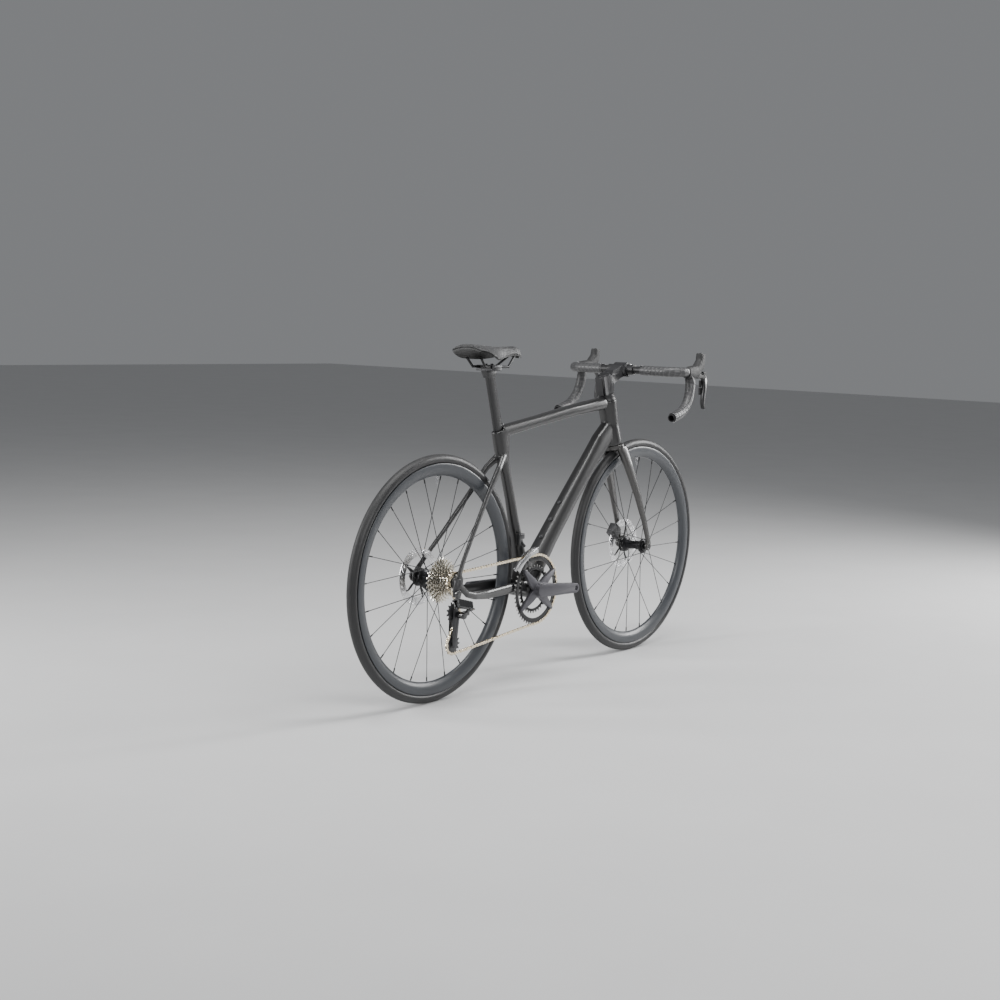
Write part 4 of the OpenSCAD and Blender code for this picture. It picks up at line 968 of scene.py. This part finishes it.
ride(paint(pad, finishes["saddleCover"]), "seatpost_body", "saddle_cover", "saddle_pad")
print("saddle made")

# machined and moulded small parts: the solids with their edges broken
softened = {
    "stemBody": ("stem", 0.0012), "stemCap": ("stem_faceplate", 0.0009),
    "stemBolts": ("stem_hardware", 0.0004),
    "aeroPost": ("seatpost", 0.0012), "saddleHead": ("saddle_clamp", 0.0008),
    "spacerStack": ("headset_spacers", 0.0005),
    "frontCaliper": ("front_brake_caliper", 0.0015), "rearCaliper": ("rear_brake_caliper", 0.0015),
    "rightBlade": ("right_brake_lever", 0.0016), "leftBlade": ("left_brake_lever", 0.0016),
    "rightUpPaddle": ("right_upshift_switch", 0.001), "rightDownPaddle": ("right_downshift_switch", 0.001),
    "leftUpPaddle": ("left_upshift_switch", 0.001), "leftDownPaddle": ("left_downshift_switch", 0.001),
    "rightButton": ("right_hood_button", 0.0008), "leftButton": ("left_hood_button", 0.0008),
    "frontHubShell": ("front_hub", 0.0004), "rearHubShell": ("rear_hub", 0.0004),
    "driveCrank": ("right_crank", 0.0016), "farCrank": ("left_crank", 0.0016),
    "ringPair": ("chainrings", 0.0003),
    "mechCage": ("rd_cage", 0.0003), "guideWheel": ("guide_pulley", 0.0002),
    "tensionWheel": ("tension_pulley", 0.0002), "frontMechBody": ("front_derailleur_body", 0.0018),
    "frontMechLink": ("fd_link", 0.0006), "frontMechCage": ("fd_cage", 0.0003),
    "hangerPlate": ("derailleur_hanger", 0.0005),
    "postWedge": ("seat_clamp_wedge", 0.0004),
}
for name, (node, width) in softened.items():
    piece = nodeCopy(node, name)
    enterEdit(piece)
    bpy.ops.mesh.select_all(action="SELECT")
    bpy.ops.mesh.dissolve_limited(angle_limit=math.radians(0.6))
    leaveEdit()
    applied(piece, "BEVEL", width=width, segments=2, limit_method="ANGLE", angle_limit=math.radians(38),
            use_clamp_overlap=True,
            miter_outer="MITER_ARC")
    settle(piece, name, 38)
    paint(piece, finishes[nodeFinish[node]])
    ride(piece, bodyOf[node], slotOf[node], node)
cap = bpy.data.objects["stemBolts"]
cap.data.materials.append(finishes["blackAlloy"])
for f in cap.data.polygons:
    f.material_index = 1 if f.center.x < 0.33 else 0
print("small parts softened")

# two short hoses drop from the bar into the headset on the left
hose = {"radius": 0.0025, "runs": {
    "leftHoseOuter": ((0.376, 0.044, 0.896), (0.350, 0.049, 0.890), (0.318, 0.048, 0.868),
                      (0.300, 0.036, 0.842), (0.297, 0.024, 0.821)),
    "leftHoseInner": ((0.374, 0.034, 0.894), (0.346, 0.038, 0.887), (0.310, 0.038, 0.866),
                      (0.290, 0.030, 0.842), (0.287, 0.019, 0.820)),
}}
for name, spots in hose["runs"].items():
    bpy.ops.curve.primitive_nurbs_path_add()
    run = bpy.context.object
    for point, spot in zip(run.data.splines[0].points, spots):
        point.co = (*spot, 1)
    run.data.splines[0].use_endpoint_u = True
    run.data.bevel_depth = hose["radius"]
    run.data.bevel_resolution = 4
    run.data.use_fill_caps = True
    bpy.ops.object.convert(target="MESH")
    run = settle(bpy.context.object, name, 40)
    ride(paint(run, finishes["switchPlastic"]), "steering_body", slotOf["handlebar"])
print("hoses laid")


# floor, light and camera
bpy.ops.object.select_all(action="DESELECT")
bpy.ops.mesh.primitive_plane_add(size=40, location=(0, 0, 0))
floor = bpy.context.object
floor.name = "studioFloor"
floorPaint = bpy.data.materials.new("floorPaint")
floorPaint.use_nodes = True
n, l = floorPaint.node_tree.nodes, floorPaint.node_tree.links
floorCoord = n.new("ShaderNodeTexCoord")
floorTone = noiseAt(n, l, floorCoord.outputs["Object"], 3.0, 5.0)
l.new(mixColours(n, l, floorTone, (0.6, 0.6, 0.6), (0.66, 0.66, 0.66)),
      n["Principled BSDF"].inputs["Base Color"])
n["Principled BSDF"].inputs["Roughness"].default_value = 0.75
floor.data.materials.append(floorPaint)

lamps = {
    "overheadSoft": {"place": (-0.4, -0.4, 3.4), "aim": (0, 0, 0.5), "size": (3.0, 0.8), "power": 105},
    "rightSoft": {"place": (-1.6, -3.8, 2.2), "aim": (0, 0, 0.4), "size": (2.4, 0.7), "power": 70},
    "frontEdge": {"place": (3.2, -1.4, 1.8), "aim": (0.2, 0, 0.5), "size": (0.7, 2.2), "power": 130},
    "rearEdge": {"place": (-2.8, 2.2, 1.7), "aim": (-0.2, 0, 0.5), "size": (0.7, 2.0), "power": 90},
}
for name, spec in lamps.items():
    lampData = bpy.data.lights.new(name, "AREA")
    lampData.shape = "RECTANGLE"
    lampData.size, lampData.size_y = spec["size"]
    lampData.energy = spec["power"]
    lamp = bpy.data.objects.new(name, lampData)
    bpy.context.scene.collection.objects.link(lamp)
    lamp.location = spec["place"]
    lamp.rotation_euler = (Vector(spec["aim"]) - Vector(spec["place"])).to_track_quat("-Z", "Y").to_euler()

world = bpy.data.worlds.new("studioAir")
world.use_nodes = True
world.node_tree.nodes["Background"].inputs["Color"].default_value = (0.8, 0.82, 0.85, 1)
world.node_tree.nodes["Background"].inputs["Strength"].default_value = 0.26
bpy.context.scene.world = world

viewpoint = {
    "place": (-3.72617, -2.68636, 1.04844), "lens": 56.47,
    "right": (0.61014, -0.79167, 0.03146), "up": (0.07227, 0.09515, 0.99284),
    "ahead": (0.78899, 0.60350, -0.11527),
}
camData = bpy.data.cameras.new("studioCamera")
camData.lens = viewpoint["lens"]
camData.sensor_width = 36
camera = bpy.data.objects.new("studioCamera", camData)
bpy.context.scene.collection.objects.link(camera)
turn = Matrix((viewpoint["right"], viewpoint["up"], [-c for c in viewpoint["ahead"]])).transposed()
camera.matrix_world = Matrix.Translation(viewpoint["place"]) @ turn.to_4x4()
bpy.context.scene.camera = camera
print("stage and camera set")

deselectAll()
